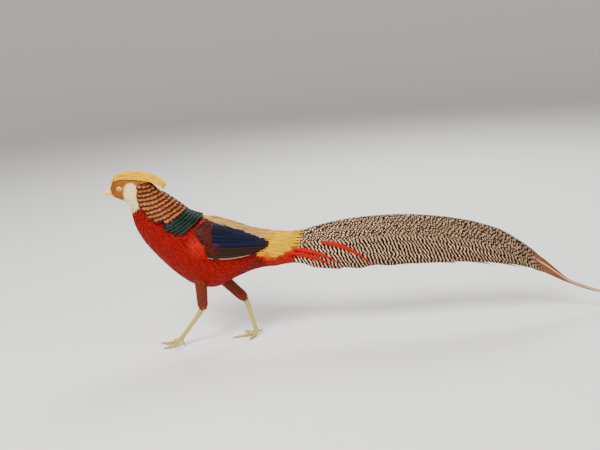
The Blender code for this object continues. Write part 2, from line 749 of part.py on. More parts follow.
def wing_covert_row(side, skin, x0, x1, z_first, z_last, count, draw):
    """Row of short broad feathers on the front of the wing."""
    result = []
    for k in range(count):
        z = z_first + (z_last - z_first) * k / (count - 1)
        path = [on_flank(skin, x0 + (x1 - x0) * u, z, side) for u in (0.0, 0.25, 0.5, 0.75, 1.0)]
        thick = float(np.interp(x0, [row[0] for row in WING_CORE], WING_CORE_THICK))
        width = WING_COVERT_WIDTH * draw.uniform(0.95, 1.05)
        result.append(vane(skin, path, width, 2.2, low=5.7, sink=2.0 - thick))
    return result


def make_wing(side, parts, shop, skin, draw):
    """Closed wing: long feathers from the back down to the primaries, and coverts in front."""
    pieces = [wing_core(side, skin)]
    pieces += [wing_feather(side, skin, number) for number in range(len(WING_LONG))]
    for row in WING_COVERTS:
        pieces += wing_covert_row(side, skin, *row, draw)
    fuse("wing_left" if side < 0 else "wing_right", pieces, "wing_brown", parts, shop)


def vault_point(x, q, side, out):
    """Point of the tail's roof: q runs from the ridge at 0 to the lower edge at 1."""
    top, low = read_at(TAIL_TOP, x), read_at(TAIL_LOW, x)
    start, run = TAIL_ROOT_RUN
    root = TAIL_ROOT_SHARE + (1 - TAIL_ROOT_SHARE) * smooth((x - start) / run)
    width = TAIL_HALF_WIDTH * min(1.0, (top - low) / TAIL_FULL_HEIGHT) * root
    y = width * math.sin(0.5 * math.pi * min(max(q, 0.0), 1.0)) ** 0.8
    return np.array((x, side * max(y + out, 0.17 + max(out, 0.0)), top - (top - low) * q))


def tail_feather(number, side):
    """One long tail feather on one side; number 0 is the central one on the ridge."""
    tip = TAIL_TIPS[number]
    count = max(int((tip - TAIL_LEAVES_X) / TAIL_FEATHER_STEP) + 1, 2)
    places = [TAIL_ROOT_X]
    places += [TAIL_LEAVES_X + (tip - TAIL_LEAVES_X) * (i / count) ** 0.95 for i in range(count + 1)]
    lows, highs = [], []
    for x in places:
        u = (x - TAIL_ROOT_X) / (tip - TAIL_ROOT_X)
        height = read_at(TAIL_TOP, x) - read_at(TAIL_LOW, x)
        if number == 0:
            taper_start, taper_run = TAIL_CENTRAL_TAPER
            broad = (0.6 + 0.4 * smooth(u / 0.2)) * (1 - 0.97 * smooth((u - taper_start) / taper_run))
            reach = min((TAIL_CENTRAL_WIDTH * broad + 1.6) / height, 0.95)
            sunk = TAIL_CENTRAL_SINK if x == TAIL_ROOT_X else 0.0
            rows = ((0.0, TAIL_THICK), (0.35 * reach, 1.4 - sunk), (reach, 1.5 - sunk))
        else:
            root_q = 0.10 + 0.095 * number
            middle = root_q + (0.93 - root_q) * u ** 1.5
            half = 0.5 * TAIL_SIDE_SHARE * smooth(0.45 + u / 0.3) * (1 - 0.88 * smooth((u - 0.72) / 0.28))
            ends = (max(middle - half, 0.02), min(middle + half, 0.99))
            rows = [(q, TAIL_LEAN * ((q - middle) / TAIL_SIDE_SHARE - 0.5)) for q in ends]
        lows.append([vault_point(x, q, side, out - TAIL_THICK) for q, out in rows])
        highs.append([vault_point(x, q, side, out) for q, out in rows])
    return two_faced(lows, highs)


def tail_core():
    """Root of the tail, with a blunt end that the feathers leave."""
    rings = [trunk_ring(RUMP_END) + section_normal(RUMP_END) * GAP]
    for x, grow, scale in TAIL_CORE:
        top, low = read_at(TAIL_TOP, x) + grow, read_at(TAIL_LOW, x) - grow
        middle, half = (top + low) / 2, (top - low) / 2
        ring = []
        for k in range(TRUNK_SIDES):
            angle = 2 * math.pi * k / TRUNK_SIDES
            q = (1 - math.cos(angle)) / 2
            wide = abs(vault_point(x, min(q, 0.7), 1, grow + 0.5)[1])
            if q > 0.7:
                wide *= math.sqrt(max(1 - ((q - 0.7) / 0.3) ** 2, 0.0))
            if k == 0:
                wide = 0.0
            y = -math.copysign(wide * scale, math.sin(angle))
            ring.append((x, y, middle + half * math.cos(angle) * scale))
        rings.append(ring)
    return loft(rings)


def plume(points, side):
    """Scarlet plume that arches over the side of the tail to a point."""
    lows, highs = [], []
    for i in range(8):
        t = i / 7
        x, z = catmull(points, (len(points) - 1) * t)
        half = 0.5 * PLUME_WIDTH * (0.55 + 0.45 * smooth(t / 0.3)) * (1 - 0.9 * smooth((t - 0.45) / 0.55))
        out = PLUME_OUT - PLUME_SINK * (1 - smooth((x - points[0][0]) / PLUME_RUN))
        top, bottom = read_at(TAIL_TOP, x), read_at(TAIL_LOW, x)
        low, high = [], []
        for edge in (-1.0, 1.0):
            q = (top - (z - half * edge)) / (top - bottom)
            drop = np.array((0.0, 0.0, min(1.0 - q, 0.0) * (top - bottom)))
            low.append(vault_point(x, min(q, 1.0), side, out - TAIL_THICK) + drop)
            high.append(vault_point(x, min(q, 1.0), side, out) + drop)
        lows.append(low)
        highs.append(high)
    return two_faced(lows, highs)


def make_tail(parts, shop):
    """Vaulted tail of two rows of graduated feathers, with the scarlet plumes over it."""
    pieces = [tail_core()]
    for side in (-1, 1):
        pieces += [tail_feather(number, side) for number in range(len(TAIL_TIPS))]
        pieces += [plume(points, side) for points in PLUMES]
    fuse("tail", pieces, "tail_buff", parts, shop)


def scutes(shank, top, bottom, front):
    """Raised plates down the front of a shank, each over the one below it."""
    skin = surface(shank)
    result = []
    for k in range(SCUTES):
        t = 0.12 + 0.8 * k / (SCUTES - 1)
        root = top * (1 - t) + bottom * t + front * 6.0
        path = walk(skin, root, unit(bottom - top), SCUTE_LENGTH, 3)
        result.append(blade(skin, path, (0.0, 0.4, 1.0), (1.9, 2.2, 1.6), (-0.6, 0.15, 0.6)))
    return result


def make_leg(side, parts, shop):
    """Feathered thigh, bare shank and foot of one leg."""
    hip, knee, ankle, foot = (np.array(point) for point in LEGS[side])
    way = unit(ankle - knee)
    path = (hip, knee, knee * 0.5 + ankle * 0.5, ankle - way * 6.0, ankle)
    thigh = fuse("thigh_" + side, [tube(path, THIGH_SIZES, 14)], "thigh_rust", parts, shop)
    cut_by(thigh, trunk_length(NECK_END, TORSO_END, TORSO_STEP, lift=GAP), shop)
    down = unit(foot - ankle)
    start = ankle + way * GAP
    heel = foot - down * 6.0
    path = [start, start + way * 2.0, start + way * 6.0]
    path += [ankle * (1 - t) + heel * t + way * 4.0 * (1 - t) for t in (0.22, 0.45, 0.72, 0.95, 1.0)]
    shank = tube(path, (4.8, 4.9, 5.0, 4.3, 3.8, 3.6, 3.9, 4.0), 8)
    front = unit(np.cross(down, (0.0, 1.0, 0.0)))
    plates = scutes(shank, path[3], heel - down * 7.0, front)
    fuse("shank_" + side, [shank] + plates, "leg_yellow", parts, shop)
    hub = tube((heel + down * GAP, heel + down * 3.0, foot, foot + down * 3.0), (4.0, 4.6, 5.0, 2.5), 8)
    pieces = [floored(hub)] + [toe(foot, np.array(tip), number == 3) for number, tip in enumerate(TOES[side])]
    fuse("foot_" + side, pieces, "leg_yellow", parts, shop)


def floored(piece):
    """Flatten whatever a piece has below the floor."""
    verts, faces = piece
    verts = np.array(verts)
    verts[:, 2] = np.maximum(verts[:, 2], 0.0)
    return verts, faces


def toe(root, tip, hind):
    """Toe that arches from the foot joint down to the floor, with a claw at its end."""
    flat = tip - root
    points, radii = [], []
    for t, thick in zip(TOE_STEPS, TOE_TAPER):
        radius = (HIND_TOE_RADIUS if hind else TOE_RADIUS) * thick
        point = root + flat * t
        drop = (1 - t) ** (1.0 if hind else 2.0)
        point[2] = max(tip[2] + (root[2] - tip[2]) * drop, 0.62 * radius)
        points.append(point)
        radii.append(radius)
    return floored(tube(points, radii, 6))


def main():
    draw = random.Random(SEED)
    remove(bpy.data.objects)
    parts = bpy.data.collections.new("golden_pheasant")
    shop = bpy.data.collections.new("cutters")
    for collection in (parts, shop):
        bpy.context.scene.collection.children.link(collection)
    skin = body_surface()
    make_head(parts, shop, draw)
    make_bill_and_eyes(parts, shop)
    make_neck(parts, shop, draw)
    make_body(parts, shop, skin, draw)
    for side in (-1, 1):
        make_wing(side, parts, shop, skin, draw)
    make_tail(parts, shop)
    for side in ("left", "right"):
        make_leg(side, parts, shop)
    origin = bpy.data.objects.new("bird_origin", None)
    bpy.context.scene.collection.objects.link(origin)
    origin.location = (-BOX_CENTRE_X * MM, 0.0, 0.0)
    for item in parts.objects:
        item.parent = origin


if __name__ == "__main__":
    main()
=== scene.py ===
"""Golden pheasant, adult male in mid stride: skin, feathers, bill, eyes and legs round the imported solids.

Sizes in the tables are millimetres, measured from the floor point midway between the feet, with the
bird facing -X, its left side facing -Y and +Z up. Meshes are made in metres in the part's own frame.
A place on the trunk is a station s along it and an angle a from the back, down the left side.
"""

import math

import bpy
import numpy as np
from bpy.props import FloatProperty, FloatVectorProperty, PointerProperty
from mathutils import Matrix, Vector
from mathutils.bvhtree import BVHTree


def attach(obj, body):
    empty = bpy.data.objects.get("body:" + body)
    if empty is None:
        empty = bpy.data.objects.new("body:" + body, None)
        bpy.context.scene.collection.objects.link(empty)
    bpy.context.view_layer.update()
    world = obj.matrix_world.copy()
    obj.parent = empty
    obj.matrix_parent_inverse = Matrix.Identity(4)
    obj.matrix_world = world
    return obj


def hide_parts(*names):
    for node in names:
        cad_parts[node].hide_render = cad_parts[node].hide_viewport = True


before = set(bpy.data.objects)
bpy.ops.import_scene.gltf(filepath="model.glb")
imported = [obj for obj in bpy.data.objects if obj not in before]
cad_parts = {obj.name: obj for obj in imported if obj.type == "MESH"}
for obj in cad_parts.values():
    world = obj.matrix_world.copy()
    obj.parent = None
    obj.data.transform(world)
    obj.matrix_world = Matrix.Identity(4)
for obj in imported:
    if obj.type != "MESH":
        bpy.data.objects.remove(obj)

bl_info = {
    "name": "Golden pheasant",
    "version": (1, 0, 0),
    "blender": (4, 5, 0),
    "location": "3D View > Sidebar > Pheasant",
    "description": "Feathers, skin and studio for a life-size golden pheasant",
    "category": "Object",
}

MM = 0.001
BOX_CENTRE_X = 298.9
SIDES = {"left": -1, "right": 1}

# Trunk sections from the bill to the tail's root: the back's x and z, the belly's x and z, and the half width
TRUNK = (
    (-171.5, 321.0, -171.0, 305.5, 4.5), (-167.0, 327.0, -167.0, 304.0, 8.5),
    (-153.0, 339.5, -158.0, 299.0, 13.0), (-127.0, 341.0, -148.0, 294.0, 15.5),
    (-102.0, 333.0, -139.5, 287.0, 17.0), (-88.0, 313.0, -138.5, 276.5, 17.5),
    (-71.5, 296.0, -137.0, 265.0, 19.5), (-52.0, 280.0, -135.0, 251.0, 24.0),
    (-32.0, 263.0, -131.0, 237.5, 31.5), (1.0, 251.0, -120.0, 214.0, 40.0),
    (31.0, 240.0, -100.0, 186.0, 46.0), (56.0, 229.0, -71.0, 152.0, 49.0),
    (77.0, 220.5, -38.0, 124.0, 48.0), (95.0, 215.5, 4.0, 113.0, 44.0), (114.0, 212.0, 49.0, 130.0, 37.0),
    (136.0, 209.5, 84.0, 141.0, 30.0), (155.0, 207.0, 122.0, 145.0, 24.5),
    (172.0, 206.0, 160.0, 148.0, 20.0), (200.0, 213.5, 198.0, 140.0, 20.5),
)
TRUNK_FIRST = -1.0
TRUNK_LAST = 17.0
SKIN_CORNERS = 200
SKIN_STATIONS = 150
FACE_SKIN_DEPTH = 1.3
TAIL_SKIN_DEPTH = 6.5

# Station and angle in degrees down to which the back is golden
GOLD_EDGE = ((7.6, 10), (8.2, 22), (8.8, 19), (9.8, 17), (10.7, 22), (11.7, 32), (12.3, 50), (12.7, 80),
             (13.3, 97), (13.9, 112), (14.4, 109), (14.9, 99), (15.4, 90), (17.0, 85))
GOLD_FIRST = 7.5
# Station and angle in degrees down to which the cape and the mantle hide the breast
CAPE_SIDE = ((3.4, 84), (4.0, 88), (5.0, 94), (6.8, 78), (7.6, 60), (8.4, 40))
BACK_PITCH = 2.6
BACK_LENGTH = 30.0
BACK_WIDTH = 2.4
TUFT_WIDTH = 3.1
# Shares of a half turn from the back at which the front piece of the breast starts and ends
BREAST_FRONT = (0.82, 1.18)
# Cream spots of the cheek and throat: x, z, radius
CREAM_SPOTS = ((-134.0, 318.0, 8.0), (-136.0, 308.0, 8.5), (-134.0, 297.0, 9.5), (-130.0, 287.0, 8.5),
               (-131.0, 278.0, 6.0), (-137.0, 284.0, 7.0), (-141.0, 296.0, 6.0))

# Rows of the cape and the mantle are rings round a point over the crown, on a core thicker than the neck.
# A row has its distance, its first and last angle in degrees, and the length of its feathers
RING_CENTRE = (-109.0, 368.0)
CAPE_CORE = 4.0
CAPE_ROWS = ((46, 36, 60, 12), (54, 34, 76, 15), (62, 32, 88, 18), (74, 24, 97, 24), (86, 8, 103, 26),
             (99, 0, 106, 27), (112, 0, 100, 27), (126, 0, 84, 27))
CAPE_STEP = 8.0
MANTLE_ROWS = ((132, 0, 90, 22), (140, 0, 92, 22), (147, 0, 90, 22), (155, 0, 84, 22))
MANTLE_STEP = 5.6
MANTLE_WIDTH = 9.5
RING_SPACING = 0.66

EYE_CENTRE = (-152.5, 319.5)
EYE_RADIUS = 4.6
EYE_SIDE = 10.0
EYE_OVAL = (1.06, 0.92)
LID_OPENING = 3.55
LID_THICKNESS = 0.45
LID_CREST = 4.2
LID_FOOT = 4.0
LID_SLOPE = 2.6
LID_BARE = 7.0
SOCKET_DEPTH = 5.0
FACE_SIDE = 5.0

# Crest from the bill to its end: x, z, half width, half height; then station and spread in degrees
CREST = (
    (-168.5, 321.0, 5.0, 5.0), (-155.0, 331.5, 10.5, 10.5), (-128.0, 333.5, 13.5, 13.2),
    (-104.0, 329.5, 13.0, 12.3), (-90.0, 325.5, 11.5, 10.5), (-80.0, 319.5, 9.5, 8.5),
    (-73.5, 314.5, 7.0, 6.0), (-70.0, 309.0, 4.5, 3.5),
)
CREST_RISE = 1.5
CREST_SPREAD = ((0.0, 58), (0.6, 70), (1.0, 82), (2.0, 92))

BILL_TIP = (-188.0, 311.0)
BILL_ROOT = (-166.0, 312.6)
BILL_ROOT_SIZE = (6.0, 7.6)
BILL_TOP_Z = 320.0
BILL_MOUTH_Z = 311.0
BILL_LOW_Z = 305.5
BILL_HALF_WIDTH = 5.6
BILL_DROP = 1.2
BILL_HOOK = 1.6
BILL_LOWER_LENGTH = 0.82
BILL_LOWER_WIDTH = 0.86
NOSTRIL = (-174.0, 315.6)
NOSTRIL_SIZE = (1.7, 0.75)
NOSTRIL_DEPTH = 0.28

# Long wing feathers from the highest to the lowest: root z, bow, tip x, tip z
WING_LONG = (
    (236.5, 0.5, 50.0, 223.0), (229.5, 0.5, 72.0, 215.0), (222.5, 0.5, 92.0, 206.5),
    (215.5, 0.0, 107.0, 200.0), (208.5, -0.5, 115.0, 195.5), (201.5, -1.0, 110.0, 191.5),
    (194.5, -1.5, 98.0, 187.5), (187.5, -2.0, 80.0, 184.0),
)
WING_ROOT_X = 2.0
WING_POINTS = 15
WING_THICKNESS = 0.5
# Front edge of the maroon coverts: z, x; then the last place of a covert's root: z, x
COVERT_FRONT = ((170.0, 14.0), (184.0, 2.0), (197.0, -6.0), (211.0, -9.0), (221.0, -18.0), (233.0, -23.0),
                (240.0, -11.0), (249.0, 0.0))
COVERT_LAST = ((190.0, 6.0), (203.0, 3.0), (214.0, -1.5))
COVERT_WIDTH = 8.4
COVERT_LENGTH = 17.0
COVERT_ROW = 4.6
COVERT_PITCH = 5.2
COVERT_BROWN_Z = 192.0

# Upper and lower outline of the tail: x, z; then the half width of its root: x, y
TAIL_TOP = (
    (172.0, 207.0), (197.0, 214.0), (241.0, 221.5), (294.0, 225.5), (372.0, 224.0), (450.0, 213.0),
    (508.0, 198.0), (558.0, 178.0), (597.0, 151.0), (632.0, 119.0), (691.0, 65.0), (786.0, 29.0),
)
TAIL_LOW = (
    (172.0, 149.0), (197.0, 139.0), (249.0, 132.0), (367.0, 126.0), (485.0, 118.0), (545.0, 110.0),
    (588.0, 101.0), (631.0, 89.0), (676.0, 65.0), (730.0, 41.0), (786.0, 27.5),
)
TAIL_WIDTHS = ((155.0, 24.0), (172.0, 21.0), (200.0, 21.5), (238.0, 25.0))
TAIL_ROOT_X = 160.0
TAIL_FULL_HEIGHT = 75.0
TAIL_RIDGE_GAP = 0.02
TAIL_TIPS = (786.0, 688.0, 640.0, 590.0, 532.0, 465.0, 395.0, 320.0, 262.0)
TAIL_CENTRAL_WIDTH = 46.0
TAIL_SHAFT = -0.25
TAIL_SIDE_SHARE = 0.24
TAIL_LEAN = 2.4
TAIL_THICKNESS = 0.5
TAIL_ROOT_SINK = 4.0
TAIL_ROOT_RUN = 12.0
TAIL_BROWN_X = 614.0
TAIL_BROWN_RUN = 26.0
# Centre lines of the scarlet plumes: x, z
PLUMES = (
    ((144.0, 184.0), (172.0, 177.0), (200.0, 168.5), (228.0, 156.5), (256.0, 137.0)),
    ((144.0, 174.0), (168.0, 169.0), (194.0, 161.0), (218.0, 149.5), (240.0, 135.0)),
    ((204.0, 187.0), (226.0, 184.0), (251.0, 176.5), (276.0, 163.0), (300.0, 144.0), (320.0, 121.0)),
)
PLUME_POINTS = 30
PLUME_LIFT = 2.8
PLUME_THICKNESS = 0.6
PLUME_BARB_RUN = 120.0

# Hip, knee, ankle and foot of each leg, and the tips of its toes, the hind one last
LEGS = {
    "left": ((-20.0, -25.0, 150.0), (-20.5, -23.0, 120.0), (-23.0, -13.0, 77.0), (-71.0, -11.0, 16.0)),
    "right": ((-4.0, 24.0, 142.0), (18.0, 22.0, 119.0), (56.3, 14.0, 79.5), (73.5, 12.0, 9.0)),
}
TOES = {
    "left": ((-93.0, 24.0, 0.6), (-117.0, 9.0, 0.6), (-107.0, -23.0, 0.6), (-66.0, -20.0, 0.6)),
    "right": ((60.0, -14.0, 0.6), (25.0, 5.0, 0.6), (47.0, 40.0, 0.6), (86.0, 15.0, 9.0)),
}
THIGH_SKIN_DEPTH = 2.2
THIGH_END = 4
THIGH_PITCH = 2.4
THIGH_LENGTH = 12.0
THIGH_WIDTH = 2.5
# Share of the way from ankle to foot, half width, half depth
SHANK = (
    (0.14, 4.4, 5.0), (0.3, 3.5, 4.4), (0.5, 3.1, 4.0), (0.72, 3.1, 3.9), (0.9, 3.8, 4.2), (1.0, 4.4, 4.4),
)
# Share of the way along a toe, and its thickness as a share of the toe's radius
TOE_PADS = ((0.0, 1.05), (0.12, 1.05), (0.25, 0.98), (0.38, 0.84), (0.5, 0.92), (0.62, 0.76), (0.72, 0.82),
            (0.82, 0.5))
TOE_RADIUS = 3.8
HIND_TOE_RADIUS = 3.0
TOE_PLATE = 2.6

# Widths of a feather at even steps from its root to its tip, as shares of its full width
DOWN_SHAPE = (0.5, 1.0, 0.9, 0.15)
CREST_SHAPE = (0.5, 1.0, 0.95, 0.7, 0.12)
RING_SHAPE = (0.3, 0.7, 1.0, 1.0, 1.0)
TUFT_SHAPE = (0.5, 1.0, 1.0, 0.8, 0.14)
SILK_SHAPE = (0.5, 1.0, 1.0, 0.8, 0.5, 0.08)
THIGH_SHAPE = (0.5, 1.0, 1.0, 0.7, 0.15)
LONG_SHAPE = (0.75, 0.95, 1.0, 1.0, 0.85, 0.62)
COVERT_SHAPE = (0.5, 0.9, 1.0, 1.0, 0.8)
# Places of a feather's rings from its root at 0 to its tip at 1
TUFT_RINGS = np.linspace(0.0, 1.0, 6)
DOWN_RINGS = np.linspace(0.0, 1.0, 5)
RING_RINGS = np.array((0.0, 0.22, 0.44, 0.62, 0.76, 0.86, 0.93, 0.975, 1.0))

# Stations along a long mesh and corners round it
BILL_POINTS = (60, 48)
EYE_POINTS = (40, 48)
SHANK_POINTS = (150, 40)
TOE_POINTS = (70, 24)
CLAW_POINTS = (20, 16)
THIGH_SKIN_POINTS = (50, 40)
# Cells across half a tail feather and stations along it
TAIL_SIDE_POINTS = (7, 72)
TAIL_CENTRAL_POINTS = (11, 110)

# Steps of the fine grid on which roots are picked, and how far a root may stray from its place
STATION_STEP = 0.06
ANGLE_STEP = 0.02
STATION_STRAY = 0.12
ANGLE_STRAY = 0.03

# Layout of the bake map: its margin, the trunk's share of the width, and the patch of one tuft
MAP_MARGIN = 0.02
MAP_TRUNK = 0.76
MAP_TUFT = 0.003

CAMERA_PLACE = (-0.1223, -1.46, 0.5695)
CAMERA_TILT = 13.5
CAMERA_ROLL = 4.8
CAMERA_LENS = 47.4
FLOOR_FLAT = 4.6
FLOOR_BEND = 1.6
LAMP_TARGET = (-0.05, 0.0, 0.2)
# Name, place, size, and share of the main lamp's power
LAMPS = (
    ("main_lamp", (-1.2, -1.6, 2.2), 1.0, 1.0),
    ("side_lamp", (1.9, -1.5, 1.2), 1.6, 0.22),
    ("back_lamp", (0.5, 1.8, 2.1), 1.2, 0.5),
)


# Shape maths


def smooth(t):
    """0 under 0, 1 over 1 and an ease between."""
    t = np.clip(t, 0.0, 1.0)
    return t * t * (3 - 2 * t)


def rise(x, start, span):
    """Eases from 0 at the start to 1 a span further on."""
    return smooth((x - start) / span)


def fall(x, end, span):
    """Eases from 1 to 0 over the span before the end."""
    return smooth((end - x) / span)


def unit(v):
    return v / np.maximum(np.linalg.norm(v, axis=-1, keepdims=True), 1e-9)


def dot(a, b):
    return np.sum(a * b, axis=-1, keepdims=True)


def grid(first, second):
    return np.meshgrid(first, second, indexing="ij")


def whole_turn(count):
    return np.arange(count) * math.tau / count


def read(rows, x):
    """Second column of a table at x in its first, in straight steps."""
    return np.interp(x, *zip(*rows))


def curve(rows, s):
    """Rows of numbers read at places s on a smooth curve, drawn on straight past both ends."""
    table = np.asarray(rows, float)
    last = len(table) - 1
    s = np.asarray(s, float)
    held = np.clip(s, 0.0, last)
    i = np.minimum(held.astype(int), last - 1)
    t = (held - i)[..., None]
    a, b, c, d = (table[np.clip(i + k, 0, last)] for k in (-1, 0, 1, 2))
    place = 0.5 * (2 * b + (c - a) * t + (2 * a - 5 * b + 4 * c - d) * t * t + (3 * b - a - 3 * c + d) * t**3)
    slope = np.where((s > last)[..., None], table[-1] - table[-2], table[1] - table[0])
    return place + slope * (s - held)[..., None]


def profile(shares, u):
    """Even steps of a feather's width read at places u from 0 to 1."""
    return curve([(share,) for share in shares], u * (len(shares) - 1))[:, 0]


def rounded(u, tip, least):
    """Share of the width that a rounded tip leaves, over the last share of the length."""
    return np.sqrt(np.maximum(1 - (np.maximum(u - 1 + tip, 0.0) / tip) ** 2, least))


def outline(points, x):
    """Height of an outline at x."""
    xs, heights = zip(*points)
    places = np.interp(x, xs, np.arange(len(xs)))
    return curve([(height,) for height in heights], places)[..., 0]


def trunk(s, a, lift=0.0):
    """Points of the trunk, lifted off its surface."""
    dx, dz, vx, vz, wide = np.moveaxis(curve(TRUNK, np.asarray(s, float) - TRUNK_FIRST), -1, 0)
    hx, hz = (dx - vx) / 2, (dz - vz) / 2
    size = np.hypot(hx, hz)
    grown = (size + lift) / size * np.cos(a)
    return np.stack(((dx + vx) / 2 + hx * grown, -(wide + lift) * np.sin(a), (dz + vz) / 2 + hz * grown), -1)


def coated(s, a):
    """Points of the trunk with the cape's core on neck and shoulders."""
    return trunk(s, a, CAPE_CORE * rise(s, 4.0, 1.2) * rise(np.cos(a), -0.55, 0.8) * fall(s, 9.0, 2.5))


def tube_of(rows, ref):
    """Surface of an oval tube; rows hold x, y, z and the half widths across and towards ref."""
    ref = np.asarray(ref, float)

    def at(s, a, lift=0.0):
        row = curve(rows, s)
        way = unit(curve(rows, s + 0.02)[..., :3] - curve(rows, s - 0.02)[..., :3])
        up = unit(ref - way * dot(way, ref))
        side = np.cross(way, up)
        return (row[..., :3] + up * ((row[..., 4] + lift) * np.cos(a))[..., None]
                + side * ((row[..., 3] + lift) * np.sin(a))[..., None])

    return at


def tangents(surface, s, a):
    """Points of a surface with the directions along and round it and outward from it."""
    step = 0.02
    along = surface(s + step, a) - surface(s - step, a)
    around = surface(s, a + step) - surface(s, a - step)
    return surface(s, a), along / (2 * step), around / (2 * step), unit(np.cross(around, along))


def lay(surface, s, a, field, length, stations, low, high, power=1.0):
    """Centre lines laid over a surface from their roots, each rising from low to high over it."""
    s, a = np.array(s, float), np.array(a, float)
    length = np.broadcast_to(np.asarray(length, float), s.shape)
    path, ways, normals = [], [], []
    for u, step in zip(stations, np.diff(stations, append=stations[-1])):
        p, along, around, out = tangents(surface, s, a)
        way = field(p, unit(along), unit(around))
        way = unit(way - out * dot(way, out))
        lift = np.asarray(low) + (np.asarray(high) - np.asarray(low)) * u**power
        path.append(p + out * lift.reshape(-1, 1))
        ways.append(way)
        normals.append(out)
        aa, bb, ab = dot(along, along)[..., 0], dot(around, around)[..., 0], dot(along, around)[..., 0]
        wa, wb = dot(way, along)[..., 0], dot(way, around)[..., 0]
        det = np.maximum(aa * bb - ab * ab, 1e-9)
        s = s + (wa * bb - wb * ab) / det * length * step
        a = a + (wb * aa - wa * ab) / det * length * step
    path = np.stack(path, 1)
    return path, unit(np.gradient(path, axis=1)), np.stack(normals, 1), stations


def backward(down=0.0):
    """Lie towards the tail, turned down the side by an angle in degrees."""
    turn = math.radians(down)

    def field(p, along, around):
        side = np.where(p[..., 1:2] > 0, -1.0, 1.0)
        return along * math.cos(turn) + around * side * math.sin(turn)

    return field


def to_crown(p, along, around):
    """Lie of the cape from its tips to its roots, towards a point over the crown."""
    return -((p - np.array((RING_CENTRE[0], 0.0, RING_CENTRE[1]))) * np.array((1.0, 0.25, 1.0)))


def scattered(draw, pitch, s_range, a_range, keep, surface=trunk):
    """Roots spread evenly over a stretch of a surface, kept where the test says so."""
    s, a = grid(np.arange(*s_range, STATION_STEP), np.arange(*a_range, ANGLE_STEP))
    s, a = s.ravel(), a.ravel()
    _, along, around, _ = tangents(surface, s, a)
    area = np.linalg.norm(np.cross(along, around), axis=-1) * STATION_STEP * ANGLE_STEP
    total = np.cumsum(area * keep(s, a) / pitch**2) + draw.random()
    pick = np.flatnonzero(np.diff(np.floor(total), prepend=0.0) > 0)
    count = len(pick)
    s = s[pick] + (draw.random(count) - 0.5) * STATION_STRAY
    return s, a[pick] + (draw.random(count) - 0.5) * ANGLE_STRAY


def ring_distance(points):
    return np.hypot(points[..., 0] - RING_CENTRE[0], points[..., 2] - RING_CENTRE[1])


def ring_roots(distance, first, last, pitch, shift):
    """Stations and angles along one ring of the cape on both sides of the back."""
    a = np.radians(np.linspace(first, last, 60))
    low, high = np.full(60, 1.6), np.full(60, 10.5)
    for _ in range(24):
        s = (low + high) / 2
        inside = ring_distance(coated(s, a)) < distance
        low, high = np.where(inside, s, low), np.where(inside, high, s)
    runs = np.concatenate(((0.0,), np.cumsum(np.linalg.norm(np.diff(coated(s, a), axis=0), axis=1))))
    places = np.arange(shift * pitch, runs[-1], pitch)
    s, a = np.interp(places, runs, s), np.interp(places, runs, a)
    return np.concatenate((s, s)), np.concatenate((a, -a))


# Meshes


def shells(rings):
    """Corners, quads and end faces of closed shells: rings is (shells, rings, corners, 3)."""
    many, long, sides, _ = rings.shape
    i, k = grid(np.arange(long - 1), np.arange(sides))
    a, b = i * sides + k, i * sides + (k + 1) % sides
    quads = np.stack((a, b, b + sides, a + sides), -1).reshape(-1, 4)
    caps = np.stack((np.arange(sides)[::-1], np.arange(sides) + (long - 1) * sides))
    shift = (np.arange(many) * long * sides)[:, None, None]
    return rings.reshape(-1, 3), (quads + shift).reshape(-1, 4), (caps + shift).reshape(-1, sides)


def spread_out(count, ratio):
    """Lower corner of each of count long cells of a sheet, and the size of a cell."""
    columns = max(int(math.ceil(math.sqrt(count * ratio))), 1)
    lines = int(math.ceil(count / columns))
    number = np.arange(count)
    return np.stack((number % columns / columns, number // columns / lines), -1), (1 / columns, 1 / lines)


def in_cell(corner, size, across, along):
    """Place on the map of a vane's corner: across runs from -1 to 1 and along from 0 to 1."""
    return corner[0] + size[0] * (0.5 + 0.46 * across), corner[1] + size[1] * (0.03 + 0.94 * along)


def on_skin(s, a):
    """Place of a trunk point on the unwrapped skin."""
    return (MAP_MARGIN + MAP_TRUNK * (np.asarray(a) % math.tau) / math.tau,
            MAP_MARGIN + 0.96 * (np.asarray(s) - TRUNK_FIRST) / (TRUNK_LAST - TRUNK_FIRST))


def on_thigh(number, s, a):
    """Place of a thigh's point on the unwrapped skin."""
    return 0.80 + 0.09 * number + 0.08 * a / math.tau, MAP_MARGIN + 0.9 * s / THIGH_END


def both_faces(c, side):
    """Places across a closed vane, over its outer face and back under it."""
    c = c if side < 0 else c[::-1]
    return np.concatenate((c, c[-2:0:-1]))


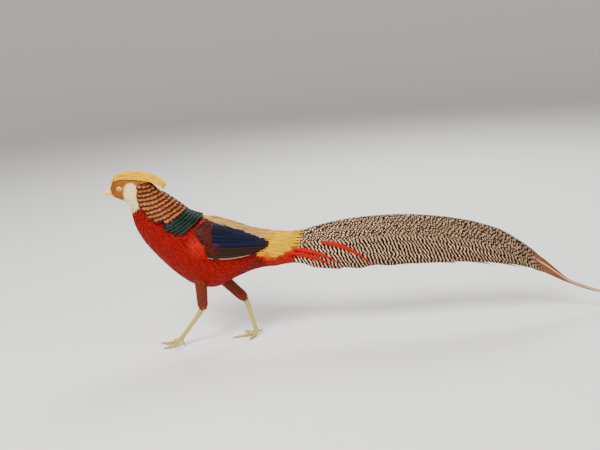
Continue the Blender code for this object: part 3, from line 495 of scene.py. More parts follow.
class Piece:
    """A mesh being made, and the numbers at its corners that the paint reads.

    A vane's numbers are the place along and across it and the feather's dice. A mark's are a tone, the
    length left to the tip and the distance from the shaft. On the skin both hold the coat's regions.
    """

    def __init__(self, name, seed):
        self.name = name
        self.draw = np.random.default_rng(seed)
        self.corners, self.faces, self.vane, self.mark, self.place = [], [], [], [], []
        self.count = 0

    def add(self, rings, vane, mark, place):
        """Closed shells with three numbers of two kinds and a place on the map at each corner."""
        corners, quads, caps = shells(rings)
        shape = rings.shape[:3]
        self.corners.append(corners)
        self.faces += [quads + self.count, caps + self.count]
        for kept, values in ((self.vane, vane), (self.mark, mark), (self.place, place)):
            parts = [np.broadcast_to(np.asarray(value, float), shape).ravel() for value in values]
            kept.append(np.stack(parts, -1))
        self.count += len(corners)

    def feathers(self, lines, width, shape, thick, tone=0.0, place=None, across=1, camber=0.0, tip=0.0):
        """Closed vanes round centre lines; place is each root's spot on the skin's map."""
        path, ways, normals, u = lines
        many = len(path)
        width = np.broadcast_to(np.asarray(width, float), (many,))
        half = 0.5 * width[:, None] * profile(shape, u)[None]
        if tip:
            half = half * rounded(u, tip, 0.015)
        side = unit(np.cross(ways, normals))
        c = np.linspace(-1, 1, 2 * across + 1)
        face = np.concatenate((np.ones(2 * across + 1), -np.ones(2 * across - 1)))
        c = both_faces(c, -1)
        blunt = np.minimum(1.0, half[..., None] / (0.4 * width[:, None, None]))
        height = camber * half[..., None] * (1 - c * c) + face * 0.5 * thick * (1 - c * c) * blunt
        rings = path[:, :, None] + side[:, :, None] * (half[..., None] * c)[..., None]
        rings = rings + normals[:, :, None] * height[..., None]
        length = np.linalg.norm(np.diff(path, axis=1), axis=-1).sum(1)[:, None, None]
        dice = self.draw.random(many)[:, None, None]
        along = u[None, :, None]
        if place is None:
            corners, size = spread_out(many, 0.4)
            place = in_cell(corners.T[..., None, None], size, c, along)
        else:
            place = (place[0][:, None, None] + 0.5 * MAP_TUFT * c, place[1][:, None, None] + MAP_TUFT * along)
        mark = (np.reshape(tone, (-1, 1, 1)), length * (1 - along), half[..., None] * c)
        self.add(rings, (along, c, dice), mark, place)

    def long_vane(self, top, low, c, side, u, tone, length, half, cell, shaft=0.0):
        """One closed vane between its outer and inner face, each drawn from edge to edge."""
        if side > 0:
            top, low = top[:, ::-1], low[:, ::-1]
        c = both_faces(c, side)
        along = u[None, :, None]
        rings = np.concatenate((top, low[:, -2:0:-1]), 1)[None]
        mark = (tone, length * (1 - along), half[None, :, None] * (c - shaft))
        self.add(rings, (along, c, self.draw.random()), mark, in_cell(*cell, c, along))

    def tube(self, surface, end, points, shape, spot=(0.0, 1.0)):
        """A closed tube over a surface up to station end; shape gives a lift at each corner.

        The spot is the tube's first place and its share across the map.
        """
        s, a = grid(np.linspace(0, end, points[0]), whole_turn(points[1]))
        rings = surface(s, a, shape(s, a))[None]
        u, around = s[None] / end, a[None] / math.tau
        self.add(rings, (u, around, 0.5), (0.0, s[None], 0.0), (spot[0] + spot[1] * around, u))

    def build(self, paint, slot, *nodes):
        """The finished object, riding on the body and standing for the given solids."""
        mesh = bpy.data.meshes.new(self.name)
        corners = np.concatenate(self.corners) * MM - np.array((BOX_CENTRE_X * MM, 0.0, 0.0))
        mesh.vertices.add(len(corners))
        mesh.vertices.foreach_set("co", corners.astype(np.float32).ravel())
        loops = np.concatenate([block.ravel() for block in self.faces])
        sizes = np.concatenate([np.full(len(block), block.shape[1]) for block in self.faces])
        mesh.loops.add(len(loops))
        mesh.loops.foreach_set("vertex_index", loops.astype(np.int32))
        mesh.polygons.add(len(sizes))
        mesh.polygons.foreach_set("loop_start", (np.cumsum(sizes) - sizes).astype(np.int32))
        mesh.update(calc_edges=True)
        mesh.shade_smooth()
        for name, values in (("vane", self.vane), ("mark", self.mark)):
            layer = mesh.attributes.new(name, "FLOAT_VECTOR", "POINT")
            layer.data.foreach_set("vector", np.concatenate(values).astype(np.float32).ravel())
        layer = mesh.uv_layers.new(name="OFBake")
        layer.uv.foreach_set("vector", np.concatenate(self.place)[loops].astype(np.float32).ravel())
        mesh.materials.append(paint)
        item = bpy.data.objects.new(self.name, mesh)
        bpy.context.scene.collection.objects.link(item)
        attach(item, "root")
        if nodes:
            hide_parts(*nodes)


# Shader maths


class Number:
    """A number worked out in a shader, written as plain maths; each step adds a Math node."""

    def __init__(self, paint, socket):
        self.paint, self.socket = paint, socket

    def math(self, operation, *values, clamp=False):
        node = self.paint.node("ShaderNodeMath", {"operation": operation, "use_clamp": clamp}, *values)
        return Number(self.paint, node.outputs[0])

    def __add__(self, other):
        return self.math("ADD", self, other)

    def __sub__(self, other):
        return self.math("SUBTRACT", self, other)

    def __rsub__(self, other):
        return self.math("SUBTRACT", other, self)

    def __mul__(self, other):
        return self.math("MULTIPLY", self, other)

    __radd__, __rmul__ = __add__, __mul__

    def sine(self):
        return self.math("SINE", self)

    def size(self):
        return self.math("ABSOLUTE", self)

    def held(self):
        """The number kept from 0 to 1."""
        return self.math("ADD", self, 0.0, clamp=True)

    def step(self, low, high):
        """0 under low, 1 over high and smooth between; high may be the smaller one."""
        settings = {"interpolation_type": "SMOOTHSTEP"}
        node = self.paint.node("ShaderNodeMapRange", settings, self, low, high, 0.0, 1.0)
        return Number(self.paint, node.outputs[0])


class Paint:
    """A material and the nodes that make its pattern."""

    def __init__(self, name, roughness=0.6, gloss=0.22, **fixed):
        self.material = bpy.data.materials.new(name)
        self.material.use_nodes = True
        self.tree = self.material.node_tree
        self.shader = self.tree.nodes["Principled BSDF"]
        self.shader.inputs["Roughness"].default_value = roughness
        self.shader.inputs["Specular IOR Level"].default_value = gloss
        for socket, value in fixed.items():
            self.shader.inputs[socket.replace("_", " ")].default_value = value

    def node(self, kind, settings=None, *values, **named):
        node = self.tree.nodes.new(kind)
        for name, value in (settings or {}).items():
            setattr(node, name, value)
        for socket, value in [*enumerate(values), *named.items()]:
            self.feed(node.inputs[socket], value)
        return node

    def feed(self, socket, value):
        value = getattr(value, "socket", value)
        if isinstance(value, bpy.types.NodeSocket):
            self.tree.links.new(value, socket)
        elif socket.type == "RGBA":
            socket.default_value = (*tuple(value)[:3], 1.0)
        else:
            socket.default_value = value

    def parts(self, name):
        """The three numbers of a mesh attribute."""
        source = self.node("ShaderNodeAttribute", {"attribute_name": name})
        split = self.node("ShaderNodeSeparateXYZ", None, source.outputs["Vector"])
        return [Number(self, output) for output in split.outputs]

    def vector(self, x, y, z):
        return self.node("ShaderNodeCombineXYZ", None, x, y, z).outputs[0]

    def place(self, x, y, z):
        """The point of the surface in metres, times a scale along each axis."""
        source = self.node("ShaderNodeTexCoord").outputs["Object"]
        return self.node("ShaderNodeVectorMath", {"operation": "MULTIPLY"}, source, (x, y, z)).outputs[0]

    def noise(self, vector, detail=2.0, scale=1.0):
        node = self.node("ShaderNodeTexNoise", None, Vector=vector, Scale=scale, Detail=detail)
        return Number(self, node.outputs["Fac"])

    def grain(self, scale, detail=2.0):
        """Noise in space with scale lumps to a metre."""
        return self.noise(self.place(scale, scale, scale), detail)

    def cells(self, vector, dimensions, jitter=1.0):
        """Distance from the borders of a net of cells."""
        settings = {"feature": "DISTANCE_TO_EDGE", "voronoi_dimensions": dimensions}
        node = self.node("ShaderNodeTexVoronoi", settings, Vector=vector, Scale=1.0, Randomness=jitter)
        return Number(self, node.outputs["Distance"])

    def mix(self, amount, first, second):
        node = self.node("ShaderNodeMix", {"data_type": "RGBA"})
        for socket, value in ((0, amount), (6, first), (7, second)):
            self.feed(node.inputs[socket], value)
        return node.outputs[2]

    def shade(self, colour, amount):
        """A colour made darker or lighter by a number round 1."""
        grey = self.vector(amount, amount, amount)
        return self.node("ShaderNodeVectorMath", {"operation": "MULTIPLY"}, colour, grey).outputs[0]

    def finish(self, colour, height=None, depth=0.0002, strength=0.5, roughness=None):
        self.feed(self.shader.inputs["Base Color"], colour)
        if roughness is not None:
            self.feed(self.shader.inputs["Roughness"], roughness)
        if height is not None:
            bump = self.node("ShaderNodeBump", None, Height=height, Distance=depth, Strength=strength)
            self.feed(self.shader.inputs["Normal"], bump.outputs[0])
        return self.material

    def barbs(self):
        """Fine lines that run out and forward from the shaft of each feather."""
        _, _, dice = self.parts("vane")
        _, left, out = self.parts("mark")
        return self.noise(self.vector(left + out.size() * 0.8, out * 0.12, dice * 40.0), 2.0, 2.6)

    def strands(self):
        """Lines along a silky feather."""
        along, across, dice = self.parts("vane")
        return self.noise(self.vector(along * 1.5, across * 2.2, dice * 60.0), 3.0, 2.0)


# Sizes and colours that a user may change


def colour_prop(name, description, r, g, b):
    return FloatVectorProperty(name=name, description=description, subtype="COLOR", size=3, min=0.0, max=1.0,
                               default=(r, g, b))


def size_prop(name, description, mm):
    return FloatProperty(name=name, description=description, unit="LENGTH", min=0.0, default=mm * MM)


class HeadLook(bpy.types.PropertyGroup):
    """Crest, face, bill and eyes."""

    crest_pitch: size_prop("Crest spacing", "Distance between the roots of crest locks", 2.2)
    crest_width: size_prop("Crest lock width", "Width of one silky lock of the crest", 1.7)
    down_pitch: size_prop("Face spacing", "Distance between the small feathers of the face", 1.12)
    crest_gold: colour_prop("Crest gold", "Colour of the top of the crest", 0.9, 0.51, 0)
    crest_deep: colour_prop("Crest side", "Colour of the sides of the crest", 0.93, 0.47, 0)
    face_rust: colour_prop("Face rust", "Colour round the bill and the eye", 0.4, 0.135, 0.018)
    cheek_cream: colour_prop("Cheek cream", "Colour of the cheek and throat", 1, 0.86, 0.42)
    bill_horn: colour_prop("Bill", "Colour of the bill", 0.8, 0.55, 0.02)
    iris: colour_prop("Iris", "Colour of the iris", 0.86, 0.66, 0.16)
    pupil: colour_prop("Pupil", "Colour of the pupil", 0.004, 0.003, 0.003)
    eye_rim: colour_prop("Eye rim", "Dark rim round the iris", 0.05, 0.03, 0.02)
    lid_skin: colour_prop("Lids", "Bare skin round the eye", 0.5, 0.22, 0.05)


class BodyLook(bpy.types.PropertyGroup):
    """Cape, mantle, breast, back, wings and thighs."""

    coat_depth: size_prop("Coat depth", "How far the skin lies under the tips of the small feathers", 4.0)
    tuft_pitch: size_prop("Tuft spacing", "Distance between small body feathers", 2.45)
    tuft_length: size_prop("Tuft length", "Length of small body feathers", 17.0)
    cape_width: size_prop("Cape feather width", "Width of one feather of the cape", 12.0)
    cape_orange: colour_prop("Cape", "Colour of the cape", 0.36, 0.082, 0.006)
    cape_bar: colour_prop("Cape bars", "Dark bars of the cape", 0.008, 0.003, 0.003)
    mantle_green: colour_prop("Mantle", "Dark green of the mantle", 0.0014, 0.0075, 0.0045)
    mantle_gloss: colour_prop("Mantle gloss", "Lighter green streaks of the mantle", 0.011, 0.043, 0.026)
    mantle_rim: colour_prop("Mantle rim", "Black rims of the mantle's feathers", 0.003, 0.004, 0.004)
    scarlet: colour_prop("Scarlet", "Colour of the breast and belly", 0.34, 0.003, 0.002)
    # Deep red of the feather roots and shafts, also laid on the skin between the breast feathers, where the
    # skin's darkening makes it painted shade
    deep_red: colour_prop("Deep red", "Red between the breast feathers", 0.12, 0.0012, 0.0012)
    # Orange red of the tips at the vent, also used as the painted highlight on the shoulder
    flame_and_shoulder_highlight: colour_prop("Flame", "Orange red of the shoulder's edge", 0.62, 0.014, 0.003)
    fringe_red: colour_prop("Fringe", "Red of the rump's lower fringe", 0.66, 0.03, 0.002)
    back_gold: colour_prop("Back gold", "Pale gold of the back", 0.72, 0.42, 0.1)
    rump_yellow: colour_prop("Rump yellow", "Bright yellow of the rump", 0.95, 0.56, 0)
    wing_maroon: colour_prop("Wing maroon", "Brown red of the front of the wing", 0.052, 0.0065, 0.003)
    wing_blue: colour_prop("Wing blue", "Blue black of the inner wing feathers", 0.0045, 0.006, 0.02)
    # Painted sheen: the violet blue laid on the upper edges of the blue wing feathers
    wing_edge_sheen: colour_prop("Wing edge", "Violet blue edge of the inner wing feathers", 0.02, 0.024, 0.15)
    wing_brown: colour_prop("Wing brown", "Brown of the outer wing feathers", 0.024, 0.011, 0.007)
    buff: colour_prop("Buff", "Pale edges and shafts of wing and cape", 0.5, 0.31, 0.17)
    thigh_rust: colour_prop("Thigh", "Rust colour of the thighs", 0.22, 0.036, 0.012)


class TailLook(bpy.types.PropertyGroup):
    """Tail feathers, their markings and the scarlet plumes."""

    spot_pitch: size_prop("Spot spacing", "Distance between the pale spots of the central feathers", 4.7)
    bar_pitch: size_prop("Bar spacing", "Distance between the dark bars of the side feathers", 6.8)
    plume_width: size_prop("Plume width", "Width of a scarlet plume", 8.5)
    tail_black: colour_prop("Tail black", "Dark ground of the tail", 0.007, 0.0035, 0.0025)
    tail_pale: colour_prop("Tail pale", "Pale spots and bars of the tail", 0.62, 0.40, 0.23)
    tail_brown: colour_prop("Tail end", "Brown of the end of the tail", 0.22, 0.065, 0.022)
    plume_red: colour_prop("Plume", "Colour of the scarlet plumes", 0.4, 0.003, 0.001)


class LegLook(bpy.types.PropertyGroup):
    """Shanks, toes and claws."""

    scute: size_prop("Scute length", "Length of one plate of the shank", 4.6)
    leg_straw: colour_prop("Leg", "Colour of shanks and toes", 0.56, 0.42, 0.08)
    leg_seam: colour_prop("Leg seams", "Colour between the scales", 0.16, 0.09, 0.03)
    claw_horn: colour_prop("Claws", "Colour of the claws", 0.30, 0.20, 0.10)
    claw_tip: colour_prop("Claw tips", "Colour of the tips of the claws", 0.10, 0.06, 0.03)


class StageLook(bpy.types.PropertyGroup):
    """Floor and lamps."""

    floor: colour_prop("Floor", "Colour of the floor", 0.80, 0.79, 0.77)
    key: FloatProperty(name="Main lamp", description="Power of the main lamp", unit="POWER", default=130.0)
    sky: FloatProperty(name="Studio light", description="Strength of the even light all round", default=0.4)


GROUPS = {"pheasant_head": HeadLook, "pheasant_body": BodyLook, "pheasant_tail": TailLook,
          "pheasant_leg": LegLook, "pheasant_stage": StageLook}


def look(name):
    return getattr(bpy.context.scene, "pheasant_" + name)


def mm(value):
    return value / MM


# Regions of the coat


def side_spot(points, x, z, radius, soft):
    """1 near a place in side view and 0 away from it."""
    return smooth(1 - (np.hypot(points[..., 0] - x, points[..., 2] - z) - radius) / soft)


def down_angle(a):
    """Angle from the back on either side."""
    a = np.asarray(a) % math.tau
    return np.minimum(a, math.tau - a)


def gold_edge(s):
    return np.radians(read(GOLD_EDGE, s))


def eye_distance(points):
    """Distance from the middle of the eye in side view, in the lids' oval."""
    wide, high = EYE_OVAL
    return np.hypot((points[..., 0] - EYE_CENTRE[0]) / wide, (points[..., 2] - EYE_CENTRE[1]) / high)


def cream(points):
    """How cream a place of the head is; the rest of the face is rust."""
    return np.max([side_spot(points, x, z, radius, 7.0) for x, z, radius in CREAM_SPOTS], axis=0)


def rump_tone(s, a):
    """0 pale gold on the back, 1 bright yellow on the rump, 2 red at its lower fringe."""
    fringe = rise(down_angle(a) - gold_edge(s), -math.radians(24), math.radians(26)) * rise(s, 12.4, 0.8)
    return rise(s, 10.8, 2.0) * (1 + fringe)


def breast_tone_and_painted_light(points):
    """0 deep red, 1 scarlet, 2 bright orange red. A painted highlight brightens the shoulder over the wing
    and painted shade darkens the rear of the belly; the orange red at the vent is the feathers' own colour.
    """
    # Painted highlight: the shoulder over the wing is made brighter
    shoulder = side_spot(points, -20.0, 212.0, 6.0, 24.0)
    vent = rise(points[..., 0], 84.0, 26.0)
    # Painted shade: the belly is darkened towards the rear, and lifted again at the vent
    under = rise(points[..., 0], 30.0, 50.0)
    return 1.0 + 0.8 * shoulder - 0.45 * under * (1 - vent) + 0.6 * vent


# Paints


def gold_paint(name, first, second):
    """Silky gold that goes from one colour to another with the tone, and past 1 to the fringe's red."""
    paint = Paint(name, 0.5, 0.04)
    along, _, dice = paint.parts("vane")
    tone, _, _ = paint.parts("mark")
    lines = paint.strands()
    colour = paint.mix(tone.held(), first, second)
    colour = paint.mix((tone - 1.0).held() * along.step(0.0, 0.5), colour, look("body").fringe_red)
    colour = paint.shade(colour, 0.62 + 0.3 * along + 0.25 * dice + 1.0 * (lines - 0.5))
    return paint.finish(colour, lines, 0.0004, 0.7)


def skin_paint():
    """Skin in the colours of the coat over it, darkened as painted shade between the feathers, and bare round
    the eyes.
    """
    head, body = look("head"), look("body")
    paint = Paint("skin_under_coat", 0.75, 0.1)
    red, gold, orange = paint.parts("vane")
    pale, bare, rust = paint.parts("mark")
    speck = paint.grain(300.0, 3.0)
    colour = paint.mix(red, body.wing_maroon, body.deep_red)
    for amount, over in ((gold, body.back_gold), (orange, body.cape_orange), (rust, head.face_rust),
                         (pale, head.cheek_cream)):
        colour = paint.mix(amount, colour, over)
    # Painted shade: the coat's colours on the skin are darkened to about two thirds, for the shade in the
    # gaps between feathers
    colour = paint.shade(colour, 0.45 + 0.4 * speck)
    lid = paint.shade(paint.mix(speck, head.lid_skin, head.face_rust), 0.8 + 0.4 * speck)
    return paint.finish(paint.mix(bare, colour, lid), speck, 0.0004, 0.5)


def tuft_paint(name, low, high, bright):
    """Small body feathers: low at the root, high at the tip, bright where the tone passes 1."""
    paint = Paint(name, 0.5, 0.12)
    along, _, dice = paint.parts("vane")
    tone, _, _ = paint.parts("mark")
    lines = paint.strands()
    colour = paint.mix((along * 1.15 * tone.held()).held(), low, high)
    # On the breast a tone past 1 is partly a painted highlight on the shoulder, and a tone under 1 keeps the
    # tips nearer the low colour as painted shade
    colour = paint.mix((tone - 1.0).held(), colour, bright)
    colour = paint.shade(colour, 0.70 + 0.3 * dice + 0.7 * (lines - 0.45))
    return paint.finish(colour, lines, 0.0003, 0.7)


def face_paint():
    """Rust face and cream cheek with a ragged border."""
    head = look("head")
    paint = Paint("face_down", 0.6, 0.15)
    along, _, dice = paint.parts("vane")
    tone, _, _ = paint.parts("mark")
    colour = paint.mix((tone + dice * 0.3 - 0.15).step(0.2, 0.8), head.face_rust, head.cheek_cream)
    colour = paint.shade(colour, 0.66 + 0.3 * along + 0.25 * dice)
    return paint.finish(colour, paint.strands(), 0.0001, 0.5)


def cape_paint():
    """Orange feathers with a pale shaft and a dark bar near the tip."""
    body = look("body")
    paint = Paint("cape_feather", 0.55, 0.12)
    _, _, dice = paint.parts("vane")
    _, left, out = paint.parts("mark")
    barbs = paint.barbs()
    wave = paint.noise(paint.vector(out * 0.22, dice * 30.0, 0.0), 1.0)
    edge = left - out * out * 0.055 + (barbs - 0.5) * 1.5 + (wave - 0.5) * 2.4
    colour = paint.mix(edge.step(9.5, 3.0), paint.shade(body.cape_orange, 0.4 + 0.4 * dice), body.cape_orange)
    colour = paint.mix(out.size().step(1.4, 0.1) * edge.step(10.0, 3.5) * 0.3, colour, body.buff)
    colour = paint.mix(edge.step(-0.2, 0.5) * edge.step(4.5, 2.9) * 0.97, colour, body.cape_bar)
    colour = paint.shade(colour, 0.72 + 0.3 * dice + 0.6 * (barbs - 0.4))
    return paint.finish(colour, barbs, 0.0003, 0.6)


def mantle_paint():
    """Dark green feathers with a lighter line inside a black rim."""
    body = look("body")
    paint = Paint("mantle_feather", 0.5, 0.08)
    _, _, dice = paint.parts("vane")
    _, left, out = paint.parts("mark")
    barbs = paint.barbs()
    rim = left - out * out * 0.12 + (barbs - 0.5) * 1.0
    gloss = rim.step(1.2, 1.7) * rim.step(3.4, 2.3)
    colour = paint.mix(rim.step(1.2, 2.0), body.mantle_rim, body.mantle_green)
    colour = paint.mix(gloss, colour, body.mantle_gloss)
    colour = paint.shade(colour, 0.6 + 0.5 * dice + 0.8 * (barbs - 0.4))
    return paint.finish(colour, barbs, 0.0003, 0.6)


def wing_paint():
    """Maroon at tone 0, blue at 1 with a painted violet sheen on its upper edges, brown at 2 and brown with a
    pale edge at 3.
    """
    body = look("body")
    paint = Paint("wing_feather", 0.5, 0.08)
    along, across, dice = paint.parts("vane")
    tone, _, out = paint.parts("mark")
    barbs = paint.barbs()
    # Painted sheen: violet blue on the upper edges of the blue feathers
    blue = paint.mix(across.step(-0.25, -0.9) * along.step(0.15, 0.45), body.wing_blue, body.wing_edge_sheen)
    brown = paint.mix(across.step(0.66, 0.86) * tone.step(2.4, 3.0), body.wing_brown, body.buff)
    colour = paint.mix(tone.step(0.2, 0.8), paint.shade(body.wing_maroon, 0.55 + 0.6 * along), blue)
    colour = paint.mix(tone.step(1.2, 1.8), colour, brown)
    shaft = out.size().step(0.38, 0.15) * tone.step(0.4, 0.9)
    colour = paint.mix(shaft * 0.4, colour, paint.shade(body.wing_brown, 2.0))
    colour = paint.shade(colour, 0.75 + 0.4 * dice + 0.7 * (barbs - 0.45))
    return paint.finish(colour, barbs, 0.0003, 0.6)


def tail_paint(spotted):
    """Tail feathers: pale spots in a dark net on the central pair, slanting bars on the others."""
    tail = look("tail")
    paint = Paint("tail_central" if spotted else "tail_barred", 0.5, 0.1)
    along, across, dice = paint.parts("vane")
    tone, left, out = paint.parts("mark")
    barbs = paint.barbs()
    wobble = paint.noise(paint.vector(left * 0.06, out * 0.16, dice * 9.0))
    wave = ((left + out * 0.45 + wobble * 10.0) * (math.tau / mm(tail.bar_pitch))).sine()
    pale = (wave + (barbs - 0.5) * 0.7).step(0.25, 0.7)
    if spotted:
        pitch = mm(tail.spot_pitch)
        slant, cross = (out - left) * (0.6 / pitch), (out + left) * (0.95 / pitch)
        place = paint.vector(slant + wobble * 1.6 + dice * 40.0, cross + wobble * 1.0, 0.0)
        spots = (paint.cells(place, "2D", 0.7) + (barbs - 0.5) * 0.08).step(0.2, 0.3)
        pale = spots + (pale - spots) * across.step(0.35, 0.9)
    # Painted light and shade: the pale marks are lit near the root and shaded towards the tip. The mix
    # towards the end's brown is partly the feathers' own colour and partly painted shade.
    buff = paint.mix(along * 0.35, tail.tail_pale, tail.tail_brown)
    buff = paint.shade(buff, 1.35 - 0.5 * along + 0.4 * (wobble - 0.5))
    colour = paint.mix(pale, tail.tail_black, buff)
    colour = paint.mix(tone, colour, paint.shade(tail.tail_brown, 0.6 + 0.8 * wobble))
    shaft = (out.size() - tone * 1.2).step(0.8, 0.3)
    colour = paint.mix(shaft * (0.2 + 0.65 * tone), colour, tail.tail_pale)
    colour = paint.shade(colour, 0.74 + 0.25 * dice + 0.5 * (barbs - 0.4))
    return paint.finish(colour, barbs, 0.0003, 0.5)


def plume_paint():
    """Scarlet plumes with fine barbs and a darker shaft."""
    paint = Paint("plume_feather", 0.5, 0.1)
    _, _, dice = paint.parts("vane")
    _, _, out = paint.parts("mark")
    barbs = paint.barbs()
    colour = paint.mix(out.size().step(0.7, 0.2) * 0.5, look("tail").plume_red, look("body").deep_red)
    colour = paint.shade(colour, 0.6 + 0.3 * dice + 1.1 * (barbs - 0.35))
    return paint.finish(colour, barbs, 0.0004, 0.8)


def scale_paint(name, base, seam):
    """Horny skin with small scales."""
    paint = Paint(name, 0.42, 0.35)
    grain = paint.grain(900.0, 3.0)
    scales = paint.cells(paint.place(620.0, 620.0, 520.0), "3D")
    colour = paint.mix(paint.grain(90.0), base, paint.shade(base, 0.72))
    colour = paint.mix(scales.step(0.10, 0.02) * 0.45, colour, seam)
    colour = paint.shade(colour, 0.78 + 0.4 * grain)
    return paint.finish(colour, scales.step(0.0, 0.2) + grain * 0.2, 0.0003, 0.4)


def horn_paint(name, base, tip):
    """Smooth horn with fine growth lines that changes colour towards its tip."""
    paint = Paint(name, 0.28, 0.5)
    u, _, _ = paint.parts("vane")
    lines = paint.noise(paint.place(260.0, 900.0, 900.0), 3.0)
    colour = paint.mix(u.step(0.35, 1.0), base, tip)
    colour = paint.shade(colour, 0.8 + 0.35 * lines)
    return paint.finish(colour, lines, 0.0001, 0.35, roughness=0.22 + 0.2 * lines)


def eye_paint():
    """Pupil, rayed iris and dark rim under a clear coat."""
    head = look("head")
    paint = Paint("eye_ball", 0.08, 0.5, Coat_Weight=1.0, Coat_Roughness=0.02)
    u, _, _ = paint.parts("vane")
    iris = paint.shade(head.iris, 0.7 + 0.6 * paint.grain(1500.0))
    colour = paint.mix(u.step(0.30, 0.36), head.pupil, iris)
    return paint.finish(paint.mix(u.step(0.70, 0.84), colour, head.eye_rim))


def floor_paint(colour):
    paint = Paint("studio_floor", 0.8)
    return paint.finish(paint.shade(colour, 0.97 + 0.06 * paint.grain(40.0, 4.0)))


# Skin and head


def skin_depth(s):
    """Depth of the skin under the coat: thin on the head, deep where the tail takes over from the trunk."""
    depth = mm(look("body").coat_depth)
    thick = FACE_SKIN_DEPTH + (depth - FACE_SKIN_DEPTH) * rise(s, 2.0, 4.0)
    return thick + TAIL_SKIN_DEPTH * rise(s, 15.3, 0.9)


def raise_lids(points):
    """Draws the skin up to a rim round each eye and sinks it behind the ball; says where it is bare."""
    r = eye_distance(points)
    rim = EYE_SIDE + np.sqrt(np.maximum(EYE_RADIUS**2 - np.minimum(r, LID_CREST) ** 2, 0.0)) + LID_THICKNESS
    y = np.abs(points[..., 1])
    shaped = np.where(r < LID_OPENING, y - SOCKET_DEPTH, rim + (y - rim) * rise(r, LID_FOOT, LID_SLOPE))
    near = (r < LID_FOOT + LID_SLOPE) & (y > FACE_SIDE)
    points[..., 1] = np.where(near, np.sign(points[..., 1]) * shaped, points[..., 1])
    return fall(r, LID_BARE, 1.0) * (y > FACE_SIDE)


def thigh_tube(side):
    """Surface of a thigh from the hip to the ankle."""
    hip, knee, ankle, _ = (np.array(point) for point in LEGS[side])
    rows = [(*hip, 9.0, 13.0), (*knee, 9.0, 11.0), (*(knee * 0.5 + ankle * 0.5), 8.5, 10.3),
            (*(ankle + (knee - ankle) * 0.12), 7.8, 9.6), (*ankle, 6.6, 8.0)]
    return tube_of(rows, (1.0, 0.0, 0.0))


def make_skin():
    piece = Piece("skin", 1)
    fine_to = 2.2
    fine = np.linspace(TRUNK_FIRST, fine_to, SKIN_STATIONS)
    coarse = np.linspace(fine_to, TRUNK_LAST, SKIN_STATIONS)[1:]
    s, a = grid(np.concatenate((fine, coarse)), whole_turn(SKIN_CORNERS))
    rings = trunk(s, a, -skin_depth(s))
    bare = raise_lids(rings)
    points = trunk(s, a)
    down = down_angle(a)
    red = rise(s, 3.7, 0.5) * fall(s, 15.0, 1.0)
    gold = fall(down, gold_edge(s), 0.15) * (s > GOLD_FIRST)
    orange = fall(ring_distance(points), 130.0, 4.0) * fall(down, math.radians(98), 0.2) * (s > 1.5)
    across, along = on_skin(s, a)
    mark = (cream(points)[None], bare[None], fall(s, 3.0, 1.0)[None])
    piece.add(rings[None], (red[None], gold[None], orange[None]), mark, (across[None], along[None]))
    for number, side in enumerate(SIDES):
        s, a = grid(np.linspace(0.0, 3.94, THIGH_SKIN_POINTS[0]), whole_turn(THIGH_SKIN_POINTS[1]))
        rings = thigh_tube(side)(s, a, -THIGH_SKIN_DEPTH)
        piece.add(rings[None], (0.4, 0.0, 0.0), (0.0, 0.0, 0.7), on_thigh(number, s[None], a[None]))
    piece.build(skin_paint(), "scarlet", "head", "neck", "torso", "rump", "thigh_left", "thigh_right")


def make_face():
    piece = Piece("face_down", 2)

    def keep(s, a):
        p = trunk(s, a)
        wide, high = BILL_ROOT_SIZE
        bill = np.hypot(p[..., 1] / wide, (p[..., 2] - BILL_ROOT[1]) / high) > 1.0
        under_cape = fall(down_angle(a), math.radians(66), 0.2) * (s > 2.7)
        kept = (eye_distance(p) > 5.6) * (bill | (p[..., 0] > BILL_ROOT[0] - 2.5))
        return kept * (1 - under_cape) * (0.35 + 0.65 * fall(s, 3.4, 2.0))

    s, a = scattered(piece.draw, mm(look("head").down_pitch), (-0.9, 4.15), (0.0, math.tau), keep)
    length = (3.3 + 5.5 * rise(s, 1.0, 2.2)) * piece.draw.uniform(0.8, 1.2, len(s))
    lines = lay(trunk, s, a, backward(6.0), length, DOWN_RINGS, -1.4, 0.2 + 0.06 * length, 0.7)
    piece.feathers(lines, 0.8 + 0.11 * length, DOWN_SHAPE, 0.3, cream(trunk(s, a)), on_skin(s, a))
    piece.build(face_paint(), "gold")


def make_crest():
    head = look("head")
    piece = Piece("crest", 3)
    crown = tube_of([(x, 0.0, z + CREST_RISE, across, high) for x, z, across, high in CREST], (0.0, 0.0, 1.0))

    def keep(s, a):
        return 1.0 * (np.abs(a) < np.radians(read(CREST_SPREAD, s)))

    def field(p, along, around):
        return along + np.sign(p[..., 1:2]) * np.array((0.0, 0.05, 0.0)) + np.array((0.0, 0.0, -0.04))

    s, a = scattered(piece.draw, mm(head.crest_pitch), (0.05, 5.4), (-2.0, 2.0), keep, crown)
    length = np.minimum(20.0 + 14.0 * s, 44.0) * (1 - 0.78 * rise(s, 2.4, 3.0))
    length = length * piece.draw.uniform(0.85, 1.1, len(s))
    lift = piece.draw.uniform(0.2, 1.8, len(s))
    lines = lay(crown, s, a, field, length, np.linspace(0.0, 1.0, 10), -3.0, lift, 0.45)
    width = mm(head.crest_width) * piece.draw.uniform(0.7, 1.2, len(s))
    piece.feathers(lines, width, CREST_SHAPE, 0.8, rise(np.abs(a), 0.7, 0.9), on_skin(s, a))
    piece.build(gold_paint("crest_silk", head.crest_gold, head.crest_deep), "gold")


# Cape and mantle


